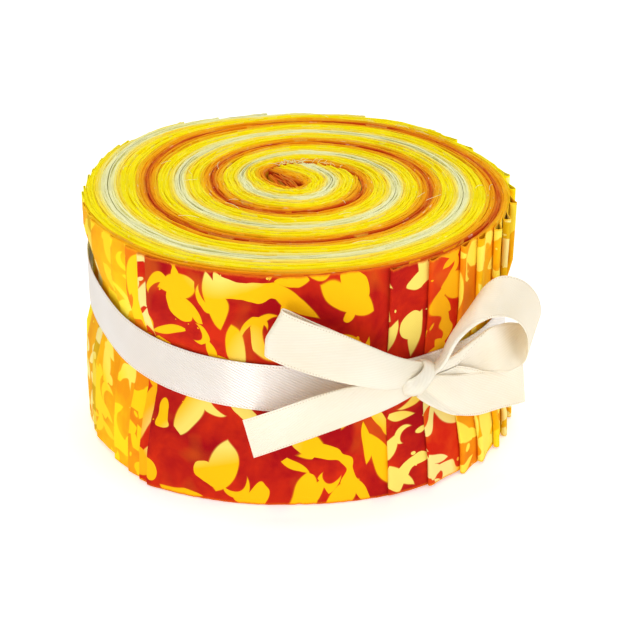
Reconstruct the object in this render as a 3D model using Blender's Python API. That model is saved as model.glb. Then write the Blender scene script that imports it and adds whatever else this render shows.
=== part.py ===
"""Fabric strip roll: forty folded cotton strips wound up as one stack, tied with a ribbon bow.

Blender 4.5, metres, +Z up. The roll stands on its flat underside at z = 0, with its axis on Z.
The front of the roll faces -Y, and the bow is at the front right. Sizes below are in millimetres.
"""
import math

import bmesh
import bpy
from mathutils import Matrix, Vector

MM = 0.001

# The cut strips: each is folded in half, and all of them are stacked and wound up together
STRIP_COUNT = 40
STRIP_WIDTH = 63.5
STRIP_LENGTH = 1118.0
LAYER_PITCH = 0.2275
STRIP_PITCH = 2 * LAYER_PITCH
STACK_THICKNESS = STRIP_COUNT * STRIP_PITCH
GROWTH = STACK_THICKNESS / (2 * math.pi)

# Where the winding lies: directions are degrees from the front (-Y) towards the right (+X)
SPIRAL_CENTRE_X = 0.5
SPIRAL_CENTRE_Y = 1.0
LAST_END_DIRECTION = -39.5

# Strips whose outer end lies a few degrees from where an even winding would put it
END_SHIFT = {1: -6.0, 2: -3.4, 3: -1.0, 4: -2.5, 5: -2.0, 6: -3.5, 36: -1.5, 37: 3.8, 38: 4.6, 39: 3.2}
END_WANDER = 1.6
END_WANDER_RATES = (2.4, 5.3)
MIDDLE_STRIPS = (7, 35)

# The free folded ends stand a little off the roll, most on its right side
END_LIFT_LEFT = 0.25
END_LIFT_RIGHT = 0.85
MOST_LIFTED_DIRECTION = 70.0
LIFT_PROFILE = (  # distance from the fold in degrees, share of the lift
    (0.25, 1.00),
    (1.60, 0.80),
    (3.60, 0.20),
)
STEP_WIDTH_DEG = 0.25
PANEL_SPACING_DEG = 6.0

# The roll's edges
EDGE_ROUND = 0.5
EDGE_ROUND_HEIGHT = 0.8
TOP_FLARE = 0.4

# Groove between the turns in the roll's top
GROOVE_WIDTH = 1.5
GROOVE_DEPTH = 2.2
GROOVE_START_TURN = 0.20
GROOVE_END_MARGIN_TURN = 0.20
GROOVE_STEPS_PER_TURN = 36
GROOVE_TAPER_STEPS = 5
GROOVE_TIP_SHARE = 0.35

# The satin ribbon
RIBBON_WIDTH = 12.7
RIBBON_THICKNESS = 1.0
CLEARANCE = 0.3
PRESSED_RADIUS = 55.9
PRESSED_HALF_HEIGHT = 6.8
PRESSED_FADE = 9.5
PRESSED_WAY_OUT = 0.42
PRESSED_LEFT_THERE = 0.55
BAND_STEPS = 96
BAND_HEIGHT = (  # direction in degrees, height of the ribbon's middle
    (-180.0, 43.0),
    (-120.0, 43.5),
    (-90.0, 42.3),
    (-66.0, 39.4),
    (-50.0, 35.6),
    (-30.0, 33.4),
    (0.0, 32.5),
    (31.0, 31.0),
    (60.0, 30.5),
    (90.0, 32.0),
    (130.0, 37.5),
)

# The bow's pieces: sections along the ribbon, each at a direction, a distance from the roll's axis
# and a height. lean tips the ribbon's width from upright towards the right, and stand tips its upper
# edge in towards the roll.
BOW_COLUMNS = ("direction", "distance", "height", "lean", "stand", "width")
LEFT_LOOP = (
    (28.8, 61.2, 34.2, 24.0, 0.0, 4.5),
    (22.0, 62.8, 37.8, 18.0, 0.0, 7.5),
    (14.8, 63.9, 41.6, 15.0, 0.0, 10.5),
    (7.8, 64.3, 45.3, 15.0, 0.0, 12.2),
    (1.3, 64.2, 48.2, 16.0, 0.0, 12.7),
    (-4.2, 63.9, 50.9, 17.0, 0.0, 12.7),
    (-5.2, 62.9, 51.4, 17.0, 0.0, 12.7),
    (-4.2, 61.9, 50.9, 17.0, 0.0, 12.7),
    (1.3, 61.7, 48.0, 16.0, 0.0, 12.2),
    (7.8, 61.7, 45.0, 15.0, 0.0, 11.2),
    (14.8, 61.5, 41.2, 15.0, 0.0, 9.4),
    (22.0, 60.6, 37.2, 18.0, 0.0, 6.8),
    (28.8, 59.6, 33.8, 24.0, 0.0, 4.5),
)
LEFT_TAIL = (
    (28.8, 60.9, 32.8, -5.0, 0.0, 4.5),
    (21.3, 61.9, 31.9, -14.0, -4.0, 7.5),
    (13.6, 62.3, 30.9, -15.0, -7.0, 10.5),
    (5.0, 62.8, 28.8, -13.0, -12.0, 12.2),
    (-2.9, 63.6, 26.0, -10.5, -15.0, 12.7),
    (-10.9, 64.4, 22.5, -9.0, -15.0, 12.7),
)
RIGHT_TAIL = (
    (28.8, 60.9, 32.5, 5.0, 0.0, 4.5),
    (32.6, 62.2, 30.2, -2.0, -6.0, 8.0),
    (38.0, 63.0, 27.5, -6.0, -4.0, 11.5),
    (45.0, 63.6, 25.3, -5.0, 0.0, 12.7),
    (52.6, 65.0, 24.1, -8.0, 0.0, 12.7),
    (61.2, 67.0, 21.7, -13.0, 0.0, 12.7),
)
RIGHT_LOOP = (
    (28.6, 60.2, 35.6, 40.0, 24.0, 4.0),
    (32.8, 61.8, 38.4, 50.0, 34.0, 6.0),
    (36.2, 63.2, 42.4, 60.0, 42.0, 8.6),
    (40.0, 65.0, 47.4, 64.0, 42.0, 11.0),
    (44.8, 66.6, 51.6, 62.0, 38.0, 12.7),
    (52.0, 68.6, 51.1, 56.0, 28.0, 12.7),
    (58.4, 70.4, 44.6, 54.0, 20.0, 12.7),
    (57.4, 69.6, 37.2, 56.0, 21.0, 12.7),
    (48.2, 66.6, 35.4, 56.0, 28.0, 12.0),
    (40.6, 64.2, 34.2, 52.0, 32.0, 9.2),
    (34.6, 62.4, 33.2, 44.0, 26.0, 6.2),
    (28.6, 60.8, 32.0, 40.0, 24.0, 4.0),
)
LOOP_STEPS = 5
TAIL_STEPS = 5

KNOT_DIRECTION = 28.8
KNOT_DISTANCE = 60.6
KNOT_HEIGHT = 33.4
KNOT_SIZE = (7.6, 8.0, 8.6)
KNOT_TILT = 20.0
KNOT_SEGMENTS = 16
KNOT_RINGS = 10

COTTON_COLOUR = (0.93, 0.42, 0.02, 1.0)
COTTON_ROUGHNESS = 0.85
SATIN_COLOUR = (0.86, 0.79, 0.66, 1.0)
SATIN_ROUGHNESS = 0.4


def clear_scene():
    for obj in list(bpy.data.objects):
        bpy.data.objects.remove(obj, do_unlink=True)


def new_collection(name):
    collection = bpy.data.collections.new(name)
    bpy.context.scene.collection.children.link(collection)
    return collection


def cloth_material(name, colour, roughness):
    material = bpy.data.materials.new(name)
    material.use_nodes = True
    shader = material.node_tree.nodes["Principled BSDF"]
    shader.inputs["Base Color"].default_value = colour
    shader.inputs["Roughness"].default_value = roughness
    shader.inputs["Metallic"].default_value = 0.0
    return material


def outward(direction):
    """Unit vector away from the roll's axis, for a direction in degrees."""
    angle = math.radians(direction)
    return Vector((math.sin(angle), -math.cos(angle), 0.0))


def sideways(direction):
    """Unit vector along the roll's side, towards larger directions."""
    angle = math.radians(direction)
    return Vector((math.cos(angle), math.sin(angle), 0.0))


def smooth(share):
    share = min(max(share, 0.0), 1.0)
    return share * share * (3.0 - 2.0 * share)


def catmull_rom(rows, position):
    """Value of each column at a position along the rows, 0 at the first and 1 more at each next row."""
    last = len(rows) - 1
    index = min(int(position), last - 1)
    u = position - index
    before = rows[max(index - 1, 0)]
    here = rows[index]
    after = rows[index + 1]
    beyond = rows[min(index + 2, last)]
    result = []
    for a, b, c, d in zip(before, here, after, beyond):
        cubic = 2 * b + (c - a) * u + (2 * a - 5 * b + 4 * c - d) * u * u + (3 * b - a - 3 * c + d) * u ** 3
        result.append(0.5 * cubic)
    return result


def spiral_length(turn_angle):
    """Length of the spiral r = GROWTH * angle from its centre, angle in radians."""
    root = math.sqrt(1.0 + turn_angle * turn_angle)
    return 0.5 * GROWTH * (turn_angle * root + math.asinh(turn_angle))


def winding_of_strip_end(strip):
    """Angle wound, in radians, when a folded strip of this number from the inside runs out."""
    start = (strip - 0.5) * STRIP_PITCH / GROWTH
    wanted = spiral_length(start) + STRIP_LENGTH / 2
    low, high = start, start + 60.0
    for _ in range(60):
        middle = 0.5 * (low + high)
        if spiral_length(middle) < wanted:
            low = middle
        else:
            high = middle
    return low - start


def strip_ends():
    """Winding angle and direction of each strip's outer end, from the innermost strip to the outermost."""
    windings = [winding_of_strip_end(strip) for strip in range(1, STRIP_COUNT + 1)]
    last = windings[-1]
    ends = []
    for strip, winding in enumerate(windings, start=1):
        shift = END_SHIFT.get(strip, 0.0)
        if MIDDLE_STRIPS[0] <= strip <= MIDDLE_STRIPS[1]:
            slow, quick = (math.sin(rate * strip) for rate in END_WANDER_RATES)
            shift = END_WANDER * (slow + 0.5 * quick)
        direction = LAST_END_DIRECTION - math.degrees(winding - last) + shift
        ends.append((direction, winding - math.radians(shift)))
    return ends


def end_lift(direction):
    share = 0.5 + 0.5 * math.cos(math.radians(direction - MOST_LIFTED_DIRECTION))
    return END_LIFT_LEFT + (END_LIFT_RIGHT - END_LIFT_LEFT) * share


def top_of_strip(strip, winding):
    return GROWTH * winding + strip * STRIP_PITCH


def roll_outline():
    """Directions in degrees, falling all the way round, and the radius from the spiral's centre."""
    ends = strip_ends()
    outline = []
    last_direction, last_winding = ends[-1]
    panel_start = ends[0][0] + 360.0 - STEP_WIDTH_DEG
    panel_span = panel_start - last_direction
    panel_steps = max(2, round(panel_span / PANEL_SPACING_DEG))
    for step in range(panel_steps):
        direction = panel_start - panel_span * step / panel_steps
        winding = last_winding - math.radians(direction - last_direction)
        outline.append((direction - 360.0, top_of_strip(STRIP_COUNT, winding)))
    for strip in range(STRIP_COUNT, 0, -1):
        direction, winding = ends[strip - 1]
        lift = end_lift(direction)
        for distance, share in reversed(LIFT_PROFILE):
            if direction + distance - 360.0 < outline[-1][0] - STEP_WIDTH_DEG:
                radius = top_of_strip(strip, winding - math.radians(distance)) + lift * share
                outline.append((direction + distance - 360.0, radius))
        if strip > 1:
            below = direction - STEP_WIDTH_DEG
            radius = top_of_strip(strip - 1, winding + math.radians(STEP_WIDTH_DEG))
            outline.append((below - 360.0, radius))
    return outline


def band_height(direction):
    """Height of the ribbon's middle, from its table, which closes on itself."""
    before = [(angle - 360.0, height) for angle, height in BAND_HEIGHT[-1:]]
    after = [(angle + 360.0, height) for angle, height in BAND_HEIGHT[:2]]
    closed = before + list(BAND_HEIGHT) + after
    wrapped = (direction + 180.0) % 360.0 - 180.0
    for index in range(1, len(closed) - 2):
        low, high = closed[index], closed[index + 1]
        if low[0] <= wrapped <= high[0]:
            position = index + (wrapped - low[0]) / (high[0] - low[0])
            return catmull_rom(closed, position)[1]
    return BAND_HEIGHT[0][1]


def roll_sections(height):
    """Heights up the roll's side, the ribbon's press there, and how far the edge is set in or out."""
    fade = PRESSED_HALF_HEIGHT + PRESSED_FADE
    middle = PRESSED_HALF_HEIGHT + PRESSED_FADE * PRESSED_WAY_OUT
    return (
        (0.0, 0.0, -EDGE_ROUND),
        (EDGE_ROUND_HEIGHT, 0.0, 0.0),
        (height - fade, 0.0, 0.0),
        (height - middle, PRESSED_LEFT_THERE, 0.0),
        (height - PRESSED_HALF_HEIGHT, 1.0, 0.0),
        (height + PRESSED_HALF_HEIGHT, 1.0, 0.0),
        (height + middle, PRESSED_LEFT_THERE, 0.0),
        (height + fade, 0.0, 0.0),
        (STRIP_WIDTH - EDGE_ROUND_HEIGHT, 0.0, TOP_FLARE),
        (STRIP_WIDTH, 0.0, TOP_FLARE - EDGE_ROUND),
    )


def roll_point(direction, radius, height, pressed, inset):
    """A point of the roll's side: the outline's own radius, or the ribbon's round where it presses."""
    point = Vector((SPIRAL_CENTRE_X, SPIRAL_CENTRE_Y, 0.0)) + outward(direction) * (radius + inset)
    free = point.length
    point *= (free + (PRESSED_RADIUS - free) * pressed) / free
    point.z = height
    return point * MM


def mesh_object(name, bm, collection, material):
    mesh = bpy.data.meshes.new(name)
    bmesh.ops.recalc_face_normals(bm, faces=bm.faces)
    bm.to_mesh(mesh)
    bm.free()
    obj = bpy.data.objects.new(name, mesh)
    collection.objects.link(obj)
    if material is not None:
        mesh.materials.append(material)
    return obj


def loft(bm, rings, closed_along):
    """Joins rings of points with faces. Open lofts get a cap at each end."""
    loops = []
    for ring in rings:
        loops.append([bm.verts.new(point) for point in ring])
    count = len(loops)
    pairs = count if closed_along else count - 1
    size = len(loops[0])
    for index in range(pairs):
        here = loops[index]
        there = loops[(index + 1) % count]
        for side in range(size):
            following = (side + 1) % size
            bm.faces.new((here[side], here[following], there[following], there[side]))
    if not closed_along:
        bm.faces.new(list(reversed(loops[0])))
        bm.faces.new(loops[-1])


def build_roll(collection, material):
    outline = roll_outline()
    rings = []
    for level in range(len(roll_sections(0.0))):
        ring = []
        for direction, radius in outline:
            height, pressed, inset = roll_sections(band_height(direction))[level]
            ring.append(roll_point(direction, radius, height, pressed, inset))
        rings.append(ring)
    bm = bmesh.new()
    loft(bm, rings, closed_along=False)
    return mesh_object("strip_roll", bm, collection, material)


def build_groove(collection):
    """V-shaped cutter along the line where one turn of the stack lies on the next."""
    ends = strip_ends()
    end_winding = ends[0][1] - GROOVE_END_MARGIN_TURN * 2 * math.pi
    start_winding = GROOVE_START_TURN * 2 * math.pi
    steps = round((end_winding - start_winding) / (2 * math.pi) * GROOVE_STEPS_PER_TURN)
    centre = Vector((SPIRAL_CENTRE_X, SPIRAL_CENTRE_Y, 0.0))
    last_direction, last_winding = ends[-1]
    rings = []
    for step in range(steps + 1):
        winding = start_winding + (end_winding - start_winding) * step / steps
        direction = last_direction + math.degrees(last_winding - winding)
        away = outward(direction)
        radius = GROWTH * winding
        full = smooth(min(step, steps - step) / GROOVE_TAPER_STEPS)
        share = GROOVE_TIP_SHARE + (1.0 - GROOVE_TIP_SHARE) * full
        half = GROOVE_WIDTH * share
        depth = GROOVE_DEPTH * share
        above = STRIP_WIDTH + depth
        rings.append([
            (centre + away * (radius - half) + Vector((0, 0, above))) * MM,
            (centre + away * (radius + half) + Vector((0, 0, above))) * MM,
            (centre + away * radius + Vector((0, 0, STRIP_WIDTH - depth))) * MM,
        ])
    bm = bmesh.new()
    loft(bm, rings, closed_along=False)
    cutter = mesh_object("turn_groove_cutter", bm, collection, None)
    hide_helper(cutter)
    return cutter


def hide_helper(obj):
    obj.hide_render = True
    obj.display_type = "WIRE"


def add_boolean(target, other, operation):
    modifier = target.modifiers.new(operation.lower() + "_" + other.name, "BOOLEAN")
    modifier.operation = operation
    modifier.solver = "EXACT"
    modifier.object = other


def ribbon_ring(centre, along, across, width):
    """Four corners of the ribbon's section: across is the direction of its width."""
    face = along.cross(across).normalized()
    half_width = across * (width / 2)
    half_thickness = face * (RIBBON_THICKNESS / 2)
    return [
        (centre + half_width + half_thickness) * MM,
        (centre - half_width + half_thickness) * MM,
        (centre - half_width - half_thickness) * MM,
        (centre + half_width - half_thickness) * MM,
    ]


def build_band(collection, material):
    """The closed turn of ribbon round the roll."""
    radius = PRESSED_RADIUS + CLEARANCE + RIBBON_THICKNESS / 2
    step = 360.0 / BAND_STEPS
    centres = []
    for index in range(BAND_STEPS):
        direction = index * step
        centres.append(outward(direction) * radius + Vector((0, 0, band_height(direction))))
    rings = []
    for index, centre in enumerate(centres):
        along = (centres[(index + 1) % BAND_STEPS] - centres[index - 1]).normalized()
        rings.append(ribbon_ring(centre, along, Vector((0, 0, 1)), RIBBON_WIDTH))
    bm = bmesh.new()
    loft(bm, rings, closed_along=True)
    return mesh_object("ribbon_tie", bm, collection, material)


def bow_section(row):
    """Centre, width direction and width of a bow piece's section."""
    values = dict(zip(BOW_COLUMNS, row))
    away = outward(values["direction"])
    side = sideways(values["direction"])
    lean = math.radians(values["lean"])
    stand = math.radians(values["stand"])
    upright = side * math.sin(lean) + Vector((0, 0, 1)) * math.cos(lean)
    across = upright * math.cos(stand) - away * math.sin(stand)
    centre = away * values["distance"] + Vector((0, 0, values["height"]))
    return centre, across.normalized(), values["width"]


def build_bow_piece(name, rows, steps, collection):
    total = (len(rows) - 1) * steps
    sections = [bow_section(catmull_rom(rows, index / steps)) for index in range(total + 1)]
    rings = []
    for index, (centre, across, width) in enumerate(sections):
        before = sections[max(index - 1, 0)][0]
        after = sections[min(index + 1, total)][0]
        rings.append(ribbon_ring(centre, (after - before).normalized(), across, width))
    bm = bmesh.new()
    loft(bm, rings, closed_along=False)
    piece = mesh_object(name, bm, collection, None)
    hide_helper(piece)
    return piece


def build_knot(collection):
    bm = bmesh.new()
    bmesh.ops.create_uvsphere(bm, u_segments=KNOT_SEGMENTS, v_segments=KNOT_RINGS, radius=0.5)
    away = outward(KNOT_DIRECTION)
    side = sideways(KNOT_DIRECTION)
    frame = Matrix((side, -away, Vector((0, 0, 1)))).transposed().to_4x4()
    size = Matrix.Diagonal((KNOT_SIZE[0] * MM, KNOT_SIZE[1] * MM, KNOT_SIZE[2] * MM, 1.0))
    tilt = Matrix.Rotation(math.radians(KNOT_TILT), 4, "Y")
    place = Matrix.Translation((away * KNOT_DISTANCE + Vector((0, 0, KNOT_HEIGHT))) * MM)
    bmesh.ops.transform(bm, matrix=place @ frame @ tilt @ size, verts=bm.verts)
    knot = mesh_object("bow_knot", bm, collection, None)
    hide_helper(knot)
    return knot


def build_ribbon(parts, helpers, material):
    tie = build_band(parts, material)
    add_boolean(tie, build_knot(helpers), "UNION")
    add_boolean(tie, build_bow_piece("bow_left_loop", LEFT_LOOP, LOOP_STEPS, helpers), "UNION")
    add_boolean(tie, build_bow_piece("bow_right_loop", RIGHT_LOOP, LOOP_STEPS, helpers), "UNION")
    add_boolean(tie, build_bow_piece("bow_left_tail", LEFT_TAIL, TAIL_STEPS, helpers), "UNION")
    add_boolean(tie, build_bow_piece("bow_right_tail", RIGHT_TAIL, TAIL_STEPS, helpers), "UNION")
    return tie


def main():
    clear_scene()
    parts = new_collection("fabric_strip_roll")
    helpers = new_collection("cutters")
    cotton = cloth_material("batik_cotton", COTTON_COLOUR, COTTON_ROUGHNESS)
    satin = cloth_material("ivory_satin", SATIN_COLOUR, SATIN_ROUGHNESS)
    roll = build_roll(parts, cotton)
    add_boolean(roll, build_groove(helpers), "DIFFERENCE")
    build_ribbon(parts, helpers, satin)


main()
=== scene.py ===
# %% [markdown]
# # Fabric strip roll
# The object is a roll of forty quilting cotton strips, each folded in half, wound up together and tied with a
# satin ribbon. The CAD model gives its size and outline. This lesson dresses it: forty thin printed sheets take the
# place of the plain solid of the roll, and six pieces of ribbon take the place of the plain solid of the bow.
# The frame is loaded first, and its plain solids are hidden where the dressed pieces take their place.

# %% Load the imported model
import math

import bpy
import numpy as np
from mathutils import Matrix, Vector


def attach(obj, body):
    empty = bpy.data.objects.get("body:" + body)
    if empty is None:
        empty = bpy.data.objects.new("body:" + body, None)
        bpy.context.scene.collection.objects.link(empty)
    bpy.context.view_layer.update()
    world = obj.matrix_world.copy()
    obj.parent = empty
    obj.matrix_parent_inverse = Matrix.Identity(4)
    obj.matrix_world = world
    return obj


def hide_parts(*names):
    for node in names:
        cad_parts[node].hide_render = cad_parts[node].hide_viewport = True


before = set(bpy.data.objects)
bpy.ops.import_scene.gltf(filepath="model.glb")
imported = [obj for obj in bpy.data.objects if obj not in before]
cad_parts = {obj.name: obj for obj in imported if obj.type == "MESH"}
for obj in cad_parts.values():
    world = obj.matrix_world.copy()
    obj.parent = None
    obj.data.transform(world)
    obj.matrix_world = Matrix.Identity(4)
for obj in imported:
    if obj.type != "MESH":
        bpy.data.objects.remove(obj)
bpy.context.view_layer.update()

MM = 0.001

# %% [markdown]
# ## Camera
# The photo looks down on the roll from the front at about 25 degrees, from half a metre away through a long lens.
# The camera is placed by those numbers, and a small shift puts the roll where the photo has it.

# %% Camera
CAMERA_HEIGHT_DEG = 25.2
CAMERA_DISTANCE = 0.520
CAMERA_TARGET = Vector((0.0, 0.0, 0.03175))
SENSOR_MM, LENS_MM = 36.0, 110.5
FRAME_SHIFT = (0.01935, -0.0240)


def add_object(name, data):
    obj = bpy.data.objects.new(name, data)
    bpy.context.scene.collection.objects.link(obj)
    return obj


camera_data = bpy.data.cameras.new("photo_camera")
camera_data.sensor_width, camera_data.lens = SENSOR_MM, LENS_MM
camera_data.shift_x, camera_data.shift_y = FRAME_SHIFT
camera = add_object("photo_camera", camera_data)
camera_rise = math.radians(CAMERA_HEIGHT_DEG)
camera.location = CAMERA_TARGET + Vector((0.0, -math.cos(camera_rise), math.sin(camera_rise))) * CAMERA_DISTANCE
camera.rotation_euler = (CAMERA_TARGET - camera.location).to_track_quat("-Z", "Y").to_euler()
bpy.context.scene.camera = camera
print("camera at", [round(value, 3) for value in camera.location])

# %% [markdown]
# ## The real sizes
# Quilting strips are cut 63.5 mm wide across the whole cloth, 1118 mm long. Folded in half and stacked forty deep
# they make a band 18.2 mm thick, and one turn of the roll is that thick. A layer takes up 0.2275 mm, a little more
# than the cloth's own 0.16 mm, because some air stays between. The same numbers as in the CAD source are used here,
# so that each folded end of cloth falls on its step in the solid. The shifts and the wander are degrees by which the
# folded ends are out of their even places, as the photo has them.

# %% Sizes in millimetres
STRIP_COUNT = 40
STRIP_WIDTH = 63.5
STRIP_LENGTH = 1118.0
LAYER_PITCH = 0.2275
CLOTH_THICKNESS = 0.16
STRIP_PITCH = 2 * LAYER_PITCH
STACK_THICKNESS = STRIP_COUNT * STRIP_PITCH
GROWTH = STACK_THICKNESS / (2 * math.pi)
SPIRAL_CENTRE = (0.5, 1.0)
LAST_END_DIRECTION = -39.5
OUTER_RADIUS = 58.0
END_SHIFT = {1: -6.0, 2: -3.4, 3: -1.0, 4: -2.5, 5: -2.0, 6: -3.5, 36: -1.5, 37: 3.8, 38: 4.6, 39: 3.2}
END_WANDER = 1.6
END_WANDER_RATES = (2.4, 5.3)
MIDDLE_STRIPS = (7, 35)
print("one turn is", round(STACK_THICKNESS, 2), "mm thick")

# %% [markdown]
# ## Where each strip ends
# Directions are degrees from the front of the roll towards its right. The winding angle grows outwards while the
# direction falls. A strip runs out when the spiral's length has used up half the strip, so the strips nearer the
# inside of the stack, which have the shorter way, end further round.

# %% Ends of the strips
def smooth(share):
    share = np.clip(share, 0.0, 1.0)
    return share * share * (3.0 - 2.0 * share)


def spiral_length(turned):
    return 0.5 * GROWTH * (turned * math.sqrt(1.0 + turned * turned) + math.asinh(turned))


BISECT_STEPS, FURTHEST_TURN = 60, 60.0


def bisect(is_low, low, high):
    for _ in range(BISECT_STEPS):
        middle = 0.5 * (low + high)
        if is_low(middle):
            low = middle
        else:
            high = middle
    return low


def plain_end(strip):
    start = (strip - 0.5) * STRIP_PITCH / GROWTH
    wanted = spiral_length(start) + STRIP_LENGTH / 2
    return bisect(lambda angle: spiral_length(angle) < wanted, start, start + FURTHEST_TURN) - start


def end_shift(strip):
    if MIDDLE_STRIPS[0] <= strip <= MIDDLE_STRIPS[1]:
        slow, quick = (math.sin(rate * strip) for rate in END_WANDER_RATES)
        return END_WANDER * (slow + 0.5 * quick)
    return END_SHIFT.get(strip, 0.0)


end_winding = {strip: plain_end(strip) - math.radians(end_shift(strip)) for strip in range(1, STRIP_COUNT + 1)}
ZERO_DIRECTION = LAST_END_DIRECTION + math.degrees(end_winding[STRIP_COUNT]) - 720.0


def direction_at(winding):
    return ZERO_DIRECTION - np.degrees(winding)


print("innermost strip ends at winding", round(end_winding[1], 2), "outermost at", round(end_winding[40], 2))

# %% [markdown]
# ## Layers of the roll
# Past the first turn a layer's distance from the centre is the spiral plus its place in the stack. At the very
# start the stack has nothing to wind on: it bends over itself in an arc and then runs straight until it meets the
# underside of the next turn, where the cut ends show as a line. A roll wound by hand isn't round either, so a short
# table pushes the turns in or out by direction, as the photo's spiral has them.

# %% Distance of a layer from the centre
ARC_DEG = 70.0
MOST_BEYOND_DEG = 88.6
START_GAP = 0.30


def layer_radius(winding, offset):
    beyond = np.radians(np.clip(-np.degrees(winding) - ARC_DEG, 0.0, MOST_BEYOND_DEG))
    return np.where(winding >= 0, GROWTH * winding + offset, offset / np.cos(beyond))


def start_winding(offset):
    def clear(winding):
        return float(layer_radius(winding, offset)) + START_GAP > GROWTH * (winding + 2 * math.pi)
    return bisect(clear, -math.radians(ARC_DEG + MOST_BEYOND_DEG), 0.0)


starts = [float(direction_at(start_winding(strip * STRIP_PITCH))) for strip in (1, 10, 20, 30)]
print("cut ends lie at directions", [round(start) for start in starts])

# %% Turns out of round
PUSH_COLUMNS = ("direction", "inner turns", "middle turns")
PUSH = (
    (-130.0, 2.5, -1.0),
    (-90.0, -2.0, -3.0),
    (-45.0, -2.5, -2.5),
    (0.0, -1.7, -1.7),
    (90.0, -0.5, -0.5),
    (135.0, 1.0, 1.0),
    (180.0, 2.5, 2.0),
)
PUSH_FROM, PUSH_FULL, PUSH_MIDDLE, PUSH_FADES, PUSH_ENDS = 0.0, 5.0, (12.0, 22.0), 46.0, 57.0
FLARE_COLUMNS = ("direction", "out at the top", "out at the bottom")
FLARE = (
    (-165.0, -0.8, 0.0),
    (-150.0, 1.2, 0.0),
    (-135.0, 2.0, 0.0),
    (-115.0, 0.4, -0.3),
    (-95.0, -1.1, -0.5),
    (-78.0, -1.3, -0.4),
    (-55.0, -1.0, 0.6),
    (-38.0, 0.0, 2.4),
    (-22.0, 0.0, 1.2),
    (0.0, 0.0, 0.3),
    (15.0, 0.0, 1.0),
    (32.0, 0.0, 2.4),
    (55.0, -0.3, 2.8),
    (80.0, -0.8, 1.0),
    (100.0, -1.2, 0.4),
    (115.0, -1.6, 0.0),
    (130.0, -1.0, 0.0),
    (150.0, 0.4, 0.0),
    (172.0, -0.4, 0.0),
)
FLARE_FROM_RADIUS = 34.0
FLARE_TOP_FROM, FLARE_FOOT_UNTIL = 0.35, 0.45


def read_off(table, columns, name, direction):
    """A column of a table, read off between its rows for any direction round the roll."""
    at = columns.index(name)
    return np.interp(direction, [row[0] for row in table], [row[at] for row in table], period=360.0)


def push(direction, radius):
    """How far a turn is pushed out of round, in millimetres, as a roll wound by hand is."""
    inner = read_off(PUSH, PUSH_COLUMNS, "inner turns", direction)
    middle = read_off(PUSH, PUSH_COLUMNS, "middle turns", direction)
    share = smooth((radius - PUSH_MIDDLE[0]) / (PUSH_MIDDLE[1] - PUSH_MIDDLE[0]))
    ramp = smooth((radius - PUSH_FROM) / (PUSH_FULL - PUSH_FROM))
    fade = 1.0 - smooth((radius - PUSH_FADES) / (PUSH_ENDS - PUSH_FADES))
    return (inner * (1.0 - share) + middle * share) * ramp * fade


def flare(direction, height, radius):
    """How far the outer turns stand out of round, in millimetres, at their free upper and lower edges."""
    top = read_off(FLARE, FLARE_COLUMNS, "out at the top", direction)
    foot = read_off(FLARE, FLARE_COLUMNS, "out at the bottom", direction)
    up = height / STRIP_WIDTH
    share = smooth((radius - FLARE_FROM_RADIUS) / (OUTER_RADIUS - FLARE_FROM_RADIUS))
    top = top * smooth((up - FLARE_TOP_FROM) / (1.0 - FLARE_TOP_FROM))
    foot = foot * smooth((FLARE_FOOT_UNTIL - up) / FLARE_FOOT_UNTIL)
    return (top + foot) * share


print("the outer turns stand out by", round(float(flare(55.0, 0.0, OUTER_RADIUS)), 1), "mm at most")

# %% [markdown]
# ## The waist under the ribbon
# The ribbon is pulled tight and draws the roll in. Every layer of the outer turns is pressed by the same rule, most
# at the outside, so that the layers stay apart from each other. The ribbon's height varies round the roll.

# %% Height of the ribbon
# Columns: direction, height of the ribbon's middle
BAND = (
    (-180.0, 43.0), (-120.0, 43.5), (-90.0, 42.3), (-66.0, 39.4), (-50.0, 35.6), (-30.0, 33.4),
    (0.0, 32.5), (31.0, 31.0), (60.0, 30.5), (90.0, 32.0), (130.0, 37.5),
)


def catmull_rom(rows, position):
    last = len(rows) - 1
    index = min(int(position), last - 1)
    u = position - index
    a, b, c, d = (np.array(rows[i]) for i in (max(index - 1, 0), index, index + 1, min(index + 2, last)))
    return 0.5 * (2 * b + (c - a) * u + (2 * a - 5 * b + 4 * c - d) * u * u + (3 * b - a - 3 * c + d) * u ** 3)


def band_table(steps=8):
    before = [(BAND[-1][0] - 360.0, BAND[-1][1])]
    after = [(BAND[0][0] + 360.0, BAND[0][1]), (BAND[1][0] + 360.0, BAND[1][1])]
    rows = before + list(BAND) + after
    return np.array([catmull_rom(rows, 1 + i / steps) for i in range(len(BAND) * steps + 1)])


band_curve = band_table()


def band_height(direction):
    return np.interp(direction, band_curve[:-1, 0], band_curve[:-1, 1], period=360.0)


print("the ribbon's middle is", round(float(band_height(0.0)), 1), "mm up at the front")

# %% Rim of the unpressed roll
RIM_STEP = 0.01
rim_windings = [end_winding[1] - 2 * math.pi + RIM_STEP] + [end_winding[s] for s in range(STRIP_COUNT, 0, -1)]
rim_strips = [STRIP_COUNT] + list(range(STRIP_COUNT, 0, -1))
rim_directions = [float(direction_at(winding)) for winding in rim_windings]
rim_points = [
    (SPIRAL_CENTRE[0] + math.sin(math.radians(d)) * (GROWTH * w + s * STRIP_PITCH),
     SPIRAL_CENTRE[1] - math.cos(math.radians(d)) * (GROWTH * w + s * STRIP_PITCH))
    for d, w, s in zip(rim_directions, rim_windings, rim_strips)
]
rim_radii = [math.hypot(*point) for point in rim_points]


def rim_radius(direction):
    return np.interp(direction, rim_directions, rim_radii, period=360.0)


print("rim radius from", round(min(rim_radii), 1), "to", round(max(rim_radii), 1), "mm")

# %% Press of the ribbon
PRESSED_RADIUS = 55.9
PRESS_STARTS_RADIUS = 30.0
PRESS_BELOW_STRETCH = 0.8
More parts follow.
